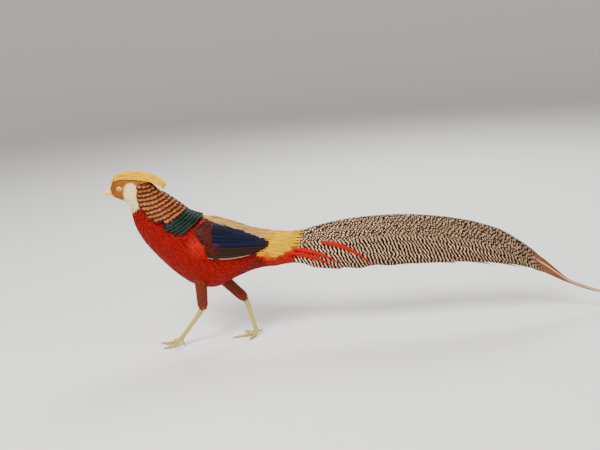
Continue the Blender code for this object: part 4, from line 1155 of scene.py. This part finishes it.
def ring_feathers(piece, table, step, width, low, high, tip):
    """Rows of broad feathers whose tips end on rings, each row over the one behind it."""
    table = np.asarray(table, float)
    for number, distance in enumerate(np.arange(table[0, 0], table[-1, 0] + 0.1, step)):
        first, last, length = (np.interp(distance, table[:, 0], column) for column in table.T[1:])
        s, a = ring_roots(distance, first, last, width * RING_SPACING, 0.5 * (number % 2))
        s = s + piece.draw.uniform(-0.03, 0.03, len(s))
        length = length * piece.draw.uniform(0.94, 1.04, len(s))
        back = lay(coated, s, a, to_crown, length, 1 - RING_RINGS[::-1], high, low)
        path, normals = back[0][:, ::-1], back[2][:, ::-1]
        lines = (path, unit(np.gradient(path, axis=1)), normals, RING_RINGS)
        widths = width * piece.draw.uniform(0.94, 1.06, len(s))
        piece.feathers(lines, widths, RING_SHAPE, 0.4, across=3, camber=0.06, tip=tip)


def make_cape():
    piece = Piece("cape", 4)
    ring_feathers(piece, CAPE_ROWS, CAPE_STEP, mm(look("body").cape_width), -0.5, 3.6, 0.16)
    piece.build(cape_paint(), "cape_orange")


def make_mantle():
    piece = Piece("mantle", 5)
    ring_feathers(piece, MANTLE_ROWS, MANTLE_STEP, MANTLE_WIDTH, -1.0, 3.2, 0.2)
    piece.build(mantle_paint(), "cape_orange")


# Breast, belly and back


def breast_kept(s, a):
    """Where small red feathers grow: not under the cape's end, few under the wing, none on the gold."""
    down = down_angle(a)
    under_mantle = (down < np.radians(read(CAPE_SIDE, s))) & (ring_distance(trunk(s, a)) < 149)
    under_wing = (s > 9.4) & (s < 13.0) & (down < np.radians(80))
    rump_end = (s > 15.4 + 0.6 * rise(down, 1.9, 0.4)) & (down < np.radians(165))
    return (down > gold_edge(s) - 0.1) * ~under_mantle * ~rump_end * (1 - 0.7 * under_wing)


def make_breast():
    body = look("body")
    paint = tuft_paint("breast_feather", body.deep_red, body.scarlet, body.flame_and_shoulder_highlight)
    start, end = (share * math.pi for share in BREAST_FRONT)
    spans = (("breast_left", 6, 0.0, start), ("breast_front", 7, start, end),
             ("breast_right", 8, end, math.tau))
    for name, seed, first, last in spans:
        piece = Piece(name, seed)
        s, a = scattered(piece.draw, mm(body.tuft_pitch), (3.45, 16.9), (first, last), breast_kept)
        # The tone holds painted light: a painted highlight on the shoulder and painted shade on the rear of
        # the belly
        tone = breast_tone_and_painted_light(trunk(s, a))
        length = mm(body.tuft_length) * (0.5 + 0.5 * rise(s, 4.0, 4.0))
        length = length * piece.draw.uniform(0.85, 1.2, len(s))
        lift = piece.draw.uniform(-0.3, 0.7, len(s)) + 3.0 * np.maximum(tone - 1.0, 0.0)
        lines = lay(trunk, s, a, backward(4.0), length, TUFT_RINGS, -3.2, lift, 0.55)
        width = TUFT_WIDTH * piece.draw.uniform(0.75, 1.25, len(s))
        piece.feathers(lines, width, TUFT_SHAPE, 0.3, tone, on_skin(s, a))
        piece.build(paint, "scarlet")


def make_back():
    body = look("body")
    piece = Piece("golden_back", 9)

    def keep(s, a):
        return (down_angle(a) < gold_edge(s)) * (s > GOLD_FIRST)

    s, a = scattered(piece.draw, BACK_PITCH, (GOLD_FIRST, 15.4), (0.0, math.tau), keep)
    ridge = np.exp(-((down_angle(a) / 0.35) ** 2)) * rise(s, 13.6, 1.2)
    length = (BACK_LENGTH - 9.0 * rise(s, 12.0, 3.0)) * piece.draw.uniform(0.85, 1.15, len(s)) + 5.0 * ridge
    lift = piece.draw.uniform(0.6, 2.6, len(s)) + 2.4 * fall(s, 12.8, 1.5)
    lift = lift + 2.2 * np.exp(-((s - 9.2) / 1.2) ** 2) + 3.0 * ridge
    lines = lay(trunk, s, a, backward(10.0), length, np.linspace(0.0, 1.0, 8), -3.0, lift, 0.7)
    width = BACK_WIDTH * piece.draw.uniform(0.7, 1.25, len(s))
    piece.feathers(lines, width, SILK_SHAPE, 0.5, rump_tone(s, a), on_skin(s, a))
    piece.build(gold_paint("back_silk", body.back_gold, body.rump_yellow), "gold")


# Wings


def flank_guide():
    """Tree of the trunk's surface for the wings, which lie on its sides."""
    s, a = grid(np.linspace(3, TRUNK_LAST, 150), whole_turn(160))
    corners, quads, _ = shells(trunk(s, a)[None])
    return BVHTree.FromPolygons(corners.tolist(), quads.tolist())


def on_flank(tree, x, z, side):
    """Points and outward directions of one side of the trunk at places in side view."""
    shape = np.shape(x)
    places, normals = [], []
    for px, pz in zip(np.ravel(x), np.ravel(z)):
        hit, normal, _, _ = tree.ray_cast(Vector((px, side * 150.0, pz)), Vector((0.0, -side, 0.0)))
        if hit is None:
            hit, normal, _, _ = tree.find_nearest(Vector((px, side * 6.0, pz)))
        normal = normal if normal.y * side > 0 else -normal
        places.append(hit)
        normals.append(normal)
    return np.array(places).reshape(*shape, 3), np.array(normals).reshape(*shape, 3)


def wing_vane(piece, tree, side, spine, width, shape, lift, slope, tone, cell):
    """One wing feather drawn in side view: spine holds x and z from root to tip."""
    u = 1 - np.linspace(1, 0, WING_POINTS) ** 1.6
    spine = curve(spine, u * (len(spine) - 1))
    way = unit(np.gradient(spine, axis=0))
    length = np.linalg.norm(np.diff(spine, axis=0), axis=1).sum()
    half = 0.5 * width * profile(shape, u) * rounded(u, 0.42 * width / length, 0.01)
    c = np.linspace(-1, 1, 9)
    offset = half[:, None] * c
    x = spine[:, 0, None] + way[:, 1, None] * offset
    z = spine[:, 1, None] - way[:, 0, None] * offset
    foot, out = on_flank(tree, x, z, side)
    middle = np.reshape(lift, (-1, 1)) + slope * offset + 0.10 * half[:, None] * (1 - c * c)
    top = foot + out * (middle + 0.5 * WING_THICKNESS)[..., None]
    low = foot + out * (middle - 0.5 * WING_THICKNESS * (1 - 0.8 * c * c))[..., None]
    piece.long_vane(top, low, c, side, u, tone, length, half, cell)


def wing_plan(draw):
    """Wing feathers from the lowest layer up: spine, width, shape, lift, slope, tone."""
    plan = []
    rows = [(k, 13.5, 2.0 if k < 6.8 else 3.2, 0.17) for k in np.arange(7.0, 3.9, -0.5)]
    rows += [(k, 20.0, 1.0, 0.12) for k in (3.2, 2.2, 1.1, 0.1)]
    lifts = np.linspace(2.2, 2.8, WING_POINTS)
    for k, width, tone, slope in rows:
        root_z, bow, tip_x, tip_z = curve(WING_LONG, k)
        middle = ((WING_ROOT_X + tip_x) / 2, (root_z + tip_z) / 2 + bow)
        plan.append((((WING_ROOT_X, root_z), middle, (tip_x, tip_z)), width, LONG_SHAPE, lifts, slope, tone))
    lifts = 0.8 + 3.2 * smooth(np.linspace(0, 1, WING_POINTS) * 1.8)
    for row, x in enumerate(np.arange(4.0, -27.0, -COVERT_ROW)):
        for z in np.arange(179.0 + 0.5 * COVERT_PITCH * (row % 2), 249.0, COVERT_PITCH):
            root = x + draw.uniform(-1.6, 1.6) - (3.0 if row == 0 else 0.0)
            long = COVERT_LENGTH + draw.uniform(-1.5, 2.5) + (4.0 if row == 0 else 0.0)
            last = read(COVERT_LAST, z)
            if root < read(COVERT_FRONT, z) or root > last:
                continue
            spine = ((root, z), (root + 0.5 * long, z - 1.0), (root + long, z - 0.16 * long))
            tone = 1.9 if z < COVERT_BROWN_Z else draw.uniform(0.0, 0.3) + 0.3 * rise(root, last - 5.0, 5.0)
            plan.append((spine, COVERT_WIDTH, COVERT_SHAPE, lifts, 0.08, tone))
    return plan


def make_wing(name):
    piece = Piece("wing_%s_feathers" % name, 10)
    tree = flank_guide()
    plan = wing_plan(piece.draw)
    corners, size = spread_out(len(plan), 5.0)
    for corner, feather in zip(corners, plan):
        wing_vane(piece, tree, SIDES[name], *feather, (corner, size))
    piece.build(wing_paint(), "wing_brown", "wing_" + name)


# Tail and plumes


def vault(x, q, side, out):
    """Points of the tail's roof: q runs from the ridge at 0 to the lower edge at 1."""
    top, low = outline(TAIL_TOP, x), outline(TAIL_LOW, x)
    share = np.minimum(1.0, (top - low) / TAIL_FULL_HEIGHT)
    width = read(TAIL_WIDTHS, x) * np.maximum(share, fall(x, 210.0, 12.0))
    y = width * np.sin(0.5 * math.pi * np.clip(q, 0.0, 1.0)) ** (0.5 + 0.3 * rise(x, 168.0, 60.0))
    y = np.maximum(y + out, TAIL_RIDGE_GAP + np.maximum(out, 0.0))
    return np.stack((x, side * y, top - (top - low) * q), -1)


def central_vane(u, height, c):
    """Height q, offset and half width of a central feather, which lies along the ridge."""
    broad = (0.6 + 0.4 * rise(u, 0.0, 0.2)) * (1 - 0.975 * rise(u, 0.62, 0.36))
    reach = np.minimum((TAIL_CENTRAL_WIDTH * broad + 1.2) / height, 0.95)
    share = c * 0.5 + 0.5
    q = reach[:, None] * share
    out = 0.5 * rise(share, 0.0, 0.06) + 1.3 * rise(share, 0.0, 0.35)
    return q, np.broadcast_to(out, q.shape), 0.5 * reach * height


def side_vane(u, height, c, number):
    """Height q, offset and half width of a side feather, which leans over the one below it."""
    root_q = 0.10 + 0.095 * number
    middle = (root_q + (0.93 - root_q) * u**1.5)[:, None]
    half_q = 0.5 * TAIL_SIDE_SHARE * smooth(0.45 + u / 0.3) * (1 - 0.9 * rise(u, 0.72, 0.28))
    q = np.clip(middle + half_q[:, None] * c, 0.02, 0.995)
    out = TAIL_LEAN * ((q - middle) / TAIL_SIDE_SHARE - 0.5) + 0.25 * (1 - c * c)[None, :]
    return q, out, half_q * height


def tail_vane(piece, number, side, cell):
    """One tail feather: number 0 is the central one, 1 the highest side feather."""
    across, long = TAIL_SIDE_POINTS if number else TAIL_CENTRAL_POINTS
    reach = TAIL_TIPS[number] - TAIL_ROOT_X
    u = np.linspace(0, 1, long)
    x = TAIL_ROOT_X + reach * u
    height = outline(TAIL_TOP, x) - outline(TAIL_LOW, x)
    c = np.linspace(-1, 1, 2 * across + 1)
    q, out, half = side_vane(u, height, c, number) if number else central_vane(u, height, c)
    out = out - TAIL_ROOT_SINK * fall(x - TAIL_ROOT_X, TAIL_ROOT_RUN, TAIL_ROOT_RUN)[:, None]
    x = np.broadcast_to(x[:, None], q.shape)
    brown = rise(x[:, :1] - 10.0 * both_faces(c, side), TAIL_BROWN_X, TAIL_BROWN_RUN)
    top, low = vault(x, q, side, out), vault(x, q, side, out - TAIL_THICKNESS)
    piece.long_vane(top, low, c, side, u, brown[None], reach, half, cell, 0.0 if number else TAIL_SHAFT)


def make_tail():
    central, barred = Piece("tail_central", 12), Piece("tail_side", 13)
    cells, size = spread_out(2, 2.0)
    for corner, side in zip(cells, SIDES.values()):
        tail_vane(central, 0, side, (corner, size))
    last = len(TAIL_TIPS) - 1
    cells, size = spread_out(2 * last, 6.0)
    for number in range(last, 0, -1):
        for k, side in enumerate(SIDES.values()):
            tail_vane(barred, number, side, (cells[2 * (number - 1) + k], size))
    central.build(tail_paint(True), "tail_buff", "tail")
    barred.build(tail_paint(False), "tail_buff")


def plume_face(x, z, side, out):
    """Points of a plume's face, which runs on straight down under the tail's lower edge."""
    top, low = outline(TAIL_TOP, x), outline(TAIL_LOW, x)
    q = (top - z) / (top - low)
    face = vault(x, np.minimum(q, 1.0), side, out)
    face[..., 2] += np.minimum(1.0 - q, 0.0) * (top - low)
    return face


def make_plumes():
    piece = Piece("scarlet_plumes", 14)
    width = mm(look("tail").plume_width)
    cells, size = spread_out(2 * len(PLUMES), 4.0)
    c = np.linspace(-1, 1, 7)
    u = np.linspace(0, 1, PLUME_POINTS)
    half = 0.5 * width * (0.55 + 0.45 * rise(u, 0.0, 0.3)) * (1 - 0.94 * rise(u, 0.45, 0.55))
    plumes = [(points, side) for points in PLUMES for side in SIDES.values()]
    for corner, (points, side) in zip(cells, plumes):
        spine = curve(points, u * (len(points) - 1))
        x = np.broadcast_to(spine[:, 0, None], (len(u), len(c)))
        z = spine[:, 1, None] - half[:, None] * c
        sunk = 2 * PLUME_LIFT * (1 - rise(x, points[0][0], TAIL_ROOT_RUN))
        out = PLUME_LIFT - sunk + 0.6 * (1 - c * c)
        top, low = plume_face(x, z, side, out), plume_face(x, z, side, out - PLUME_THICKNESS)
        piece.long_vane(top, low, c, side, u, 1.0, PLUME_BARB_RUN, half, (corner, size))
    piece.build(plume_paint(), "scarlet")


# Thighs, bill, eyes and legs


def everywhere(s, a):
    return np.ones_like(s)


def make_thighs():
    body = look("body")
    paint = tuft_paint("thigh_feather", body.deep_red, body.thigh_rust, body.thigh_rust)
    for number, side in enumerate(SIDES):
        piece = Piece("thigh_feathers_" + side, 15 + number)
        surface = thigh_tube(side)
        s, a = scattered(piece.draw, THIGH_PITCH, (0.1, 3.7), (0.0, math.tau), everywhere, surface)
        length = (THIGH_LENGTH - 5.0 * rise(s, 2.5, 1.2)) * piece.draw.uniform(0.8, 1.2, len(s))
        lines = lay(surface, s, a, lambda p, along, around: along, length, TUFT_RINGS, -1.8, 0.5, 0.6)
        width = THIGH_WIDTH * piece.draw.uniform(0.8, 1.25, len(s))
        piece.feathers(lines, width, THIGH_SHAPE, 0.45, 1.0, on_thigh(number, s, a))
        piece.build(paint, "thigh_rust")


def bill_heights(t, upper):
    """Top and underside of half the bill from its root at 0 to its tip at 1."""
    mouth = BILL_MOUTH_Z - BILL_DROP * t
    if upper:
        low = mouth - BILL_HOOK * t**6
        return np.maximum(BILL_TOP_Z - (BILL_TOP_Z - BILL_TIP[1]) * t**1.9, low + 0.5), low
    return mouth - 0.3, BILL_LOW_Z + (mouth - BILL_LOW_Z - 1.0) * t**1.3


def make_bill():
    horn = look("head").bill_horn
    tip = tuple(0.75 * value + 0.2 for value in horn)
    halves = (("bill_upper", 1, 1.0, 1.0), ("bill_lower", -1, BILL_LOWER_LENGTH, BILL_LOWER_WIDTH))
    for name, turn, length, width in halves:
        piece = Piece(name + "_horn", 20)
        t = np.linspace(0, 1, BILL_POINTS[0])
        x = (BILL_ROOT[0] + (BILL_TIP[0] - BILL_ROOT[0]) * t * length)[:, None]
        half = BILL_HALF_WIDTH * np.sqrt(np.maximum(1 - t**1.6, 0.012)) * width
        top, low = bill_heights(t, turn > 0)
        base = (low if turn > 0 else top)[:, None]
        a = whole_turn(BILL_POINTS[1])
        y = half[:, None] * np.cos(a)
        up = np.sin(a)[None, :]
        z = np.where(up * turn > 0, base + (top - low)[:, None] * up, base - turn * 0.25 * up)
        if turn > 0:
            away = ((x - NOSTRIL[0]) / NOSTRIL_SIZE[0]) ** 2 + ((z - NOSTRIL[1]) / NOSTRIL_SIZE[1]) ** 2
            y = y * (1 - NOSTRIL_DEPTH * np.exp(-away) * (up > 0))
        rings = np.stack((np.broadcast_to(x, y.shape), y, z), -1)[:, ::-1]
        along = t[None, :, None]
        piece.add(rings[None], (along, 0.5, 0.5), (0.0, 0.0, 0.0), ((a / math.tau)[None, None, :], along))
        piece.build(horn_paint(name + "_horn", horn, tip), "bill_horn", name)


def make_eyes():
    for name, side in SIDES.items():
        piece = Piece("eye_%s_ball" % name, 22)
        angle = np.linspace(0.001, math.pi * 0.98, EYE_POINTS[0])[:, None]
        a = whole_turn(EYE_POINTS[1])
        r = EYE_RADIUS * np.sin(angle)
        bulge = EYE_RADIUS * np.cos(angle) + 0.5 * np.exp(-((angle / 0.5) ** 2))
        x = EYE_CENTRE[0] + r * np.cos(a) * side
        z = EYE_CENTRE[1] + r * np.sin(a)
        y = np.broadcast_to(side * (EYE_SIDE + bulge), x.shape)
        rings = np.stack((x, y, z), -1)[:, ::-1]
        out = (0.4 * angle / math.pi)[None]
        from_middle = angle[None] / (0.5 * math.pi) * 1.15
        place = (0.5 + out * np.cos(a), 0.5 + out * np.sin(a))
        piece.add(rings[None], (from_middle, 0.5, 0.5), (0.0, 0.0, 0.0), place)
        piece.build(eye_paint(), "iris", "eye_" + name)


def shank_rows(side):
    """Sections of a shank from its joint under the feathers to the foot."""
    _, knee, ankle, foot = (np.array(point) for point in LEGS[side])
    way, down = unit(ankle - knee), unit(foot - ankle)
    rows = [(*(ankle - way * 3.0), 4.4, 4.6), (*(ankle + way * 2.0), 4.9, 5.1)]
    for t, wide, deep in SHANK:
        rows.append((*(ankle * (1 - t) + foot * t + way * 4.0 * (1 - t)), wide, deep))
    rows.append((*(foot + down * 3.0), 2.4, 2.6))
    return rows


def make_shank(side, paint):
    piece = Piece("shank_scales_" + side, 30)
    rows = shank_rows(side)
    scute = mm(look("leg").scute)
    steps = np.linalg.norm(np.diff(np.array(rows)[:, :3], axis=0), axis=1)
    runs = np.concatenate(((0.0,), np.cumsum(steps)))

    def plates(s, a):
        run = np.interp(s, np.arange(len(runs)), runs)
        phase = (run / scute) % 1.0
        front = rise(np.cos(a), 0.1, 0.4)
        plate = 0.35 * front * (phase - 0.25) * fall(phase, 1, 0.12)
        return plate + 0.12 * (1 - front) * np.sin(run * 2.2) * np.sin(a * 9)

    piece.tube(tube_of(rows, (-1.0, 0.0, 0.0)), len(rows) - 1.02, SHANK_POINTS, plates)
    piece.build(paint, "leg_yellow", "shank_" + side)


def toe_rows(foot, tip, radius, arch):
    """Sections of a toe, thick at its pads and never under the floor."""
    rows = []
    for t, thick in TOE_PADS:
        r = radius * thick
        point = foot + (tip - foot) * t
        point[2] = max(tip[2] + (foot[2] - tip[2]) * (1 - t) ** arch, 0.8 * r)
        rows.append((*point, r * 0.92, r * 0.85))
    return rows


def make_foot(side, paint, claw_paint):
    foot = np.array(LEGS[side][3])
    upright = (0.0, 0.0, 1.0)
    toes, claws = Piece("toes_" + side, 31), Piece("claws_" + side, 32)
    for number, tip in enumerate(TOES[side]):
        tip = np.array(tip)
        radius, arch = (HIND_TOE_RADIUS, 1.0) if number == 3 else (TOE_RADIUS, 2.0)
        rows = toe_rows(foot, tip, radius, arch)
        length = np.linalg.norm(tip - foot) * TOE_PADS[-1][0]

        def plates(s, a):
            phase = (s / (len(rows) - 1) * length / TOE_PLATE) % 1.0
            return 0.28 * rise(np.cos(a), 0.0, 0.4) * (phase - 0.3) * fall(phase, 1, 0.15)

        spot = (0.25 * number, 0.24)
        toes.tube(tube_of(rows, upright), len(rows) - 1, TOE_POINTS, plates, spot)
        start = np.array(rows[-1][:3]) - (tip - foot) * 0.03
        bend = start * 0.5 + tip * 0.5 + np.array((0.0, 0.0, 1.3))
        claw = [(*start, radius * 0.36, radius * 0.5), (*bend, radius * 0.26, radius * 0.38)]
        claw.append((*tip, 0.22, 0.25))
        claws.tube(tube_of(claw, upright), 2, CLAW_POINTS, lambda s, a: 0.0, spot)
    for item in (toes, claws):
        for corners in item.corners:
            corners[:, 2] = np.maximum(corners[:, 2], 0.0)
    toes.build(paint, "leg_yellow", "foot_" + side)
    claws.build(claw_paint, "leg_yellow")


def make_legs():
    leg = look("leg")
    paint = scale_paint("leg_scale", leg.leg_straw, leg.leg_seam)
    claw_paint = horn_paint("claw_horn", leg.claw_horn, leg.claw_tip)
    for side in SIDES:
        make_shank(side, paint)
        make_foot(side, paint, claw_paint)


# Stage


def make_camera():
    tilt, roll = math.radians(CAMERA_TILT), math.radians(CAMERA_ROLL)
    forward = Vector((0.0, math.cos(tilt), -math.sin(tilt)))
    right, up = Vector((1.0, 0.0, 0.0)), Vector((0.0, math.sin(tilt), math.cos(tilt)))
    across = right * math.cos(roll) - up * math.sin(roll)
    above = right * math.sin(roll) + up * math.cos(roll)
    camera = bpy.data.objects.new("camera", bpy.data.cameras.new("camera"))
    camera.data.sensor_width = 36.0
    camera.data.lens = CAMERA_LENS
    camera.data.clip_end = 60.0
    turn = Matrix((across, above, -forward)).transposed().to_4x4()
    camera.matrix_world = Matrix.Translation(CAMERA_PLACE) @ turn
    bpy.context.scene.collection.objects.link(camera)
    bpy.context.scene.camera = camera


def make_lamps(power):
    for name, place, size, share in LAMPS:
        lamp = bpy.data.lights.new(name, "AREA")
        lamp.size = size
        lamp.energy = power * share
        item = bpy.data.objects.new(name, lamp)
        item.location = place
        item.rotation_mode = "QUATERNION"
        item.rotation_quaternion = (Vector(LAMP_TARGET) - Vector(place)).to_track_quat("-Z", "Y")
        bpy.context.scene.collection.objects.link(item)


def make_floor(colour):
    """A round floor, flat under the bird and bent up far behind it."""
    bend = np.linspace(0.0, 0.5 * math.pi, 9)
    reach = np.concatenate(((0.02, 1.0, 2.5), FLOOR_FLAT + FLOOR_BEND * np.sin(bend)))
    height = np.concatenate(((0.0, 0.0, 0.0), FLOOR_BEND * (1 - np.cos(bend))))
    reach, turn = grid(reach, whole_turn(64))
    height = np.broadcast_to(height[:, None], reach.shape)
    corners = np.stack((reach * np.cos(turn), reach * np.sin(turn), height), -1)
    corners, quads, caps = shells(corners[None])
    mesh = bpy.data.meshes.new("floor")
    mesh.from_pydata(corners.tolist(), [], quads.tolist() + [caps[0].tolist()])
    mesh.shade_smooth()
    mesh.materials.append(floor_paint(colour))
    floor = bpy.data.objects.new("floor", mesh)
    bpy.context.scene.collection.objects.link(floor)


def make_stage():
    stage = look("stage")
    make_floor(stage.floor)
    make_lamps(stage.key)
    world = bpy.context.scene.world or bpy.data.worlds.new("studio")
    bpy.context.scene.world = world
    world.use_nodes = True
    background = world.node_tree.nodes["Background"]
    background.inputs["Color"].default_value = (1.0, 1.0, 1.0, 1.0)
    background.inputs["Strength"].default_value = stage.sky
    make_camera()


# Operators and panel


class PHEASANT_OT_skin(bpy.types.Operator):
    """Skin under the whole coat, with the lids"""

    bl_idname = "pheasant.skin"
    bl_label = "Skin and lids"

    def execute(self, context):
        make_skin()
        return {"FINISHED"}


class PHEASANT_OT_face(bpy.types.Operator):
    """Small feathers of the face and throat"""

    bl_idname = "pheasant.face"
    bl_label = "Face feathers"

    def execute(self, context):
        make_face()
        return {"FINISHED"}


class PHEASANT_OT_crest(bpy.types.Operator):
    """Silky golden crest"""

    bl_idname = "pheasant.crest"
    bl_label = "Crest"

    def execute(self, context):
        make_crest()
        return {"FINISHED"}


class PHEASANT_OT_cape(bpy.types.Operator):
    """Barred orange cape"""

    bl_idname = "pheasant.cape"
    bl_label = "Cape"

    def execute(self, context):
        make_cape()
        return {"FINISHED"}


class PHEASANT_OT_mantle(bpy.types.Operator):
    """Dark green mantle behind the cape"""

    bl_idname = "pheasant.mantle"
    bl_label = "Mantle"

    def execute(self, context):
        make_mantle()
        return {"FINISHED"}


class PHEASANT_OT_breast(bpy.types.Operator):
    """Scarlet feathers of breast, belly and flanks"""

    bl_idname = "pheasant.breast"
    bl_label = "Breast and belly"

    def execute(self, context):
        make_breast()
        return {"FINISHED"}


class PHEASANT_OT_back(bpy.types.Operator):
    """Golden plumes of back and rump"""

    bl_idname = "pheasant.back"
    bl_label = "Golden back"

    def execute(self, context):
        make_back()
        return {"FINISHED"}


class PHEASANT_OT_wings(bpy.types.Operator):
    """Both folded wings"""

    bl_idname = "pheasant.wings"
    bl_label = "Wings"

    def execute(self, context):
        for side in SIDES:
            make_wing(side)
        return {"FINISHED"}


class PHEASANT_OT_tail(bpy.types.Operator):
    """Central and side feathers of the tail"""

    bl_idname = "pheasant.tail"
    bl_label = "Tail"

    def execute(self, context):
        make_tail()
        return {"FINISHED"}


class PHEASANT_OT_plumes(bpy.types.Operator):
    """Plumes over the root of the tail"""

    bl_idname = "pheasant.plumes"
    bl_label = "Scarlet plumes"

    def execute(self, context):
        make_plumes()
        return {"FINISHED"}


class PHEASANT_OT_thighs(bpy.types.Operator):
    """Feathers of the thighs"""

    bl_idname = "pheasant.thighs"
    bl_label = "Thighs"

    def execute(self, context):
        make_thighs()
        return {"FINISHED"}


class PHEASANT_OT_bill(bpy.types.Operator):
    """Both halves of the bill"""

    bl_idname = "pheasant.bill"
    bl_label = "Bill"

    def execute(self, context):
        make_bill()
        return {"FINISHED"}


class PHEASANT_OT_eyes(bpy.types.Operator):
    """Both eyes"""

    bl_idname = "pheasant.eyes"
    bl_label = "Eyes"

    def execute(self, context):
        make_eyes()
        return {"FINISHED"}


class PHEASANT_OT_legs(bpy.types.Operator):
    """Shanks, toes and claws"""

    bl_idname = "pheasant.legs"
    bl_label = "Legs and feet"

    def execute(self, context):
        make_legs()
        return {"FINISHED"}


class PHEASANT_OT_stage(bpy.types.Operator):
    """Floor, lamps and camera"""

    bl_idname = "pheasant.stage"
    bl_label = "Studio"

    def execute(self, context):
        make_stage()
        return {"FINISHED"}


OPERATORS = (
    PHEASANT_OT_skin, PHEASANT_OT_face, PHEASANT_OT_crest, PHEASANT_OT_cape, PHEASANT_OT_mantle,
    PHEASANT_OT_breast, PHEASANT_OT_back, PHEASANT_OT_wings, PHEASANT_OT_tail, PHEASANT_OT_plumes,
    PHEASANT_OT_thighs, PHEASANT_OT_bill, PHEASANT_OT_eyes, PHEASANT_OT_legs, PHEASANT_OT_stage,
)


class PHEASANT_PT_panel(bpy.types.Panel):
    """Lists the bird's pieces, sizes and colours."""

    bl_label = "Golden pheasant"
    bl_idname = "PHEASANT_PT_panel"
    bl_space_type = "VIEW_3D"
    bl_region_type = "UI"
    bl_category = "Pheasant"

    def draw(self, context):
        for item in OPERATORS:
            self.layout.operator(item.bl_idname)
        for name, group in GROUPS.items():
            box = self.layout.box()
            for prop in group.__annotations__:
                box.prop(getattr(context.scene, name), prop)


def register():
    for name, group in GROUPS.items():
        bpy.utils.register_class(group)
        setattr(bpy.types.Scene, name, PointerProperty(type=group))
    for item in (*OPERATORS, PHEASANT_PT_panel):
        bpy.utils.register_class(item)


def unregister():
    for item in (PHEASANT_PT_panel, *reversed(OPERATORS)):
        bpy.utils.unregister_class(item)
    for name, group in GROUPS.items():
        delattr(bpy.types.Scene, name)
        bpy.utils.unregister_class(group)


def main():
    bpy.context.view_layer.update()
    register()
    for item in OPERATORS:
        getattr(bpy.ops.pheasant, item.bl_idname.split(".")[1])()


if __name__ == "__main__":
    main()
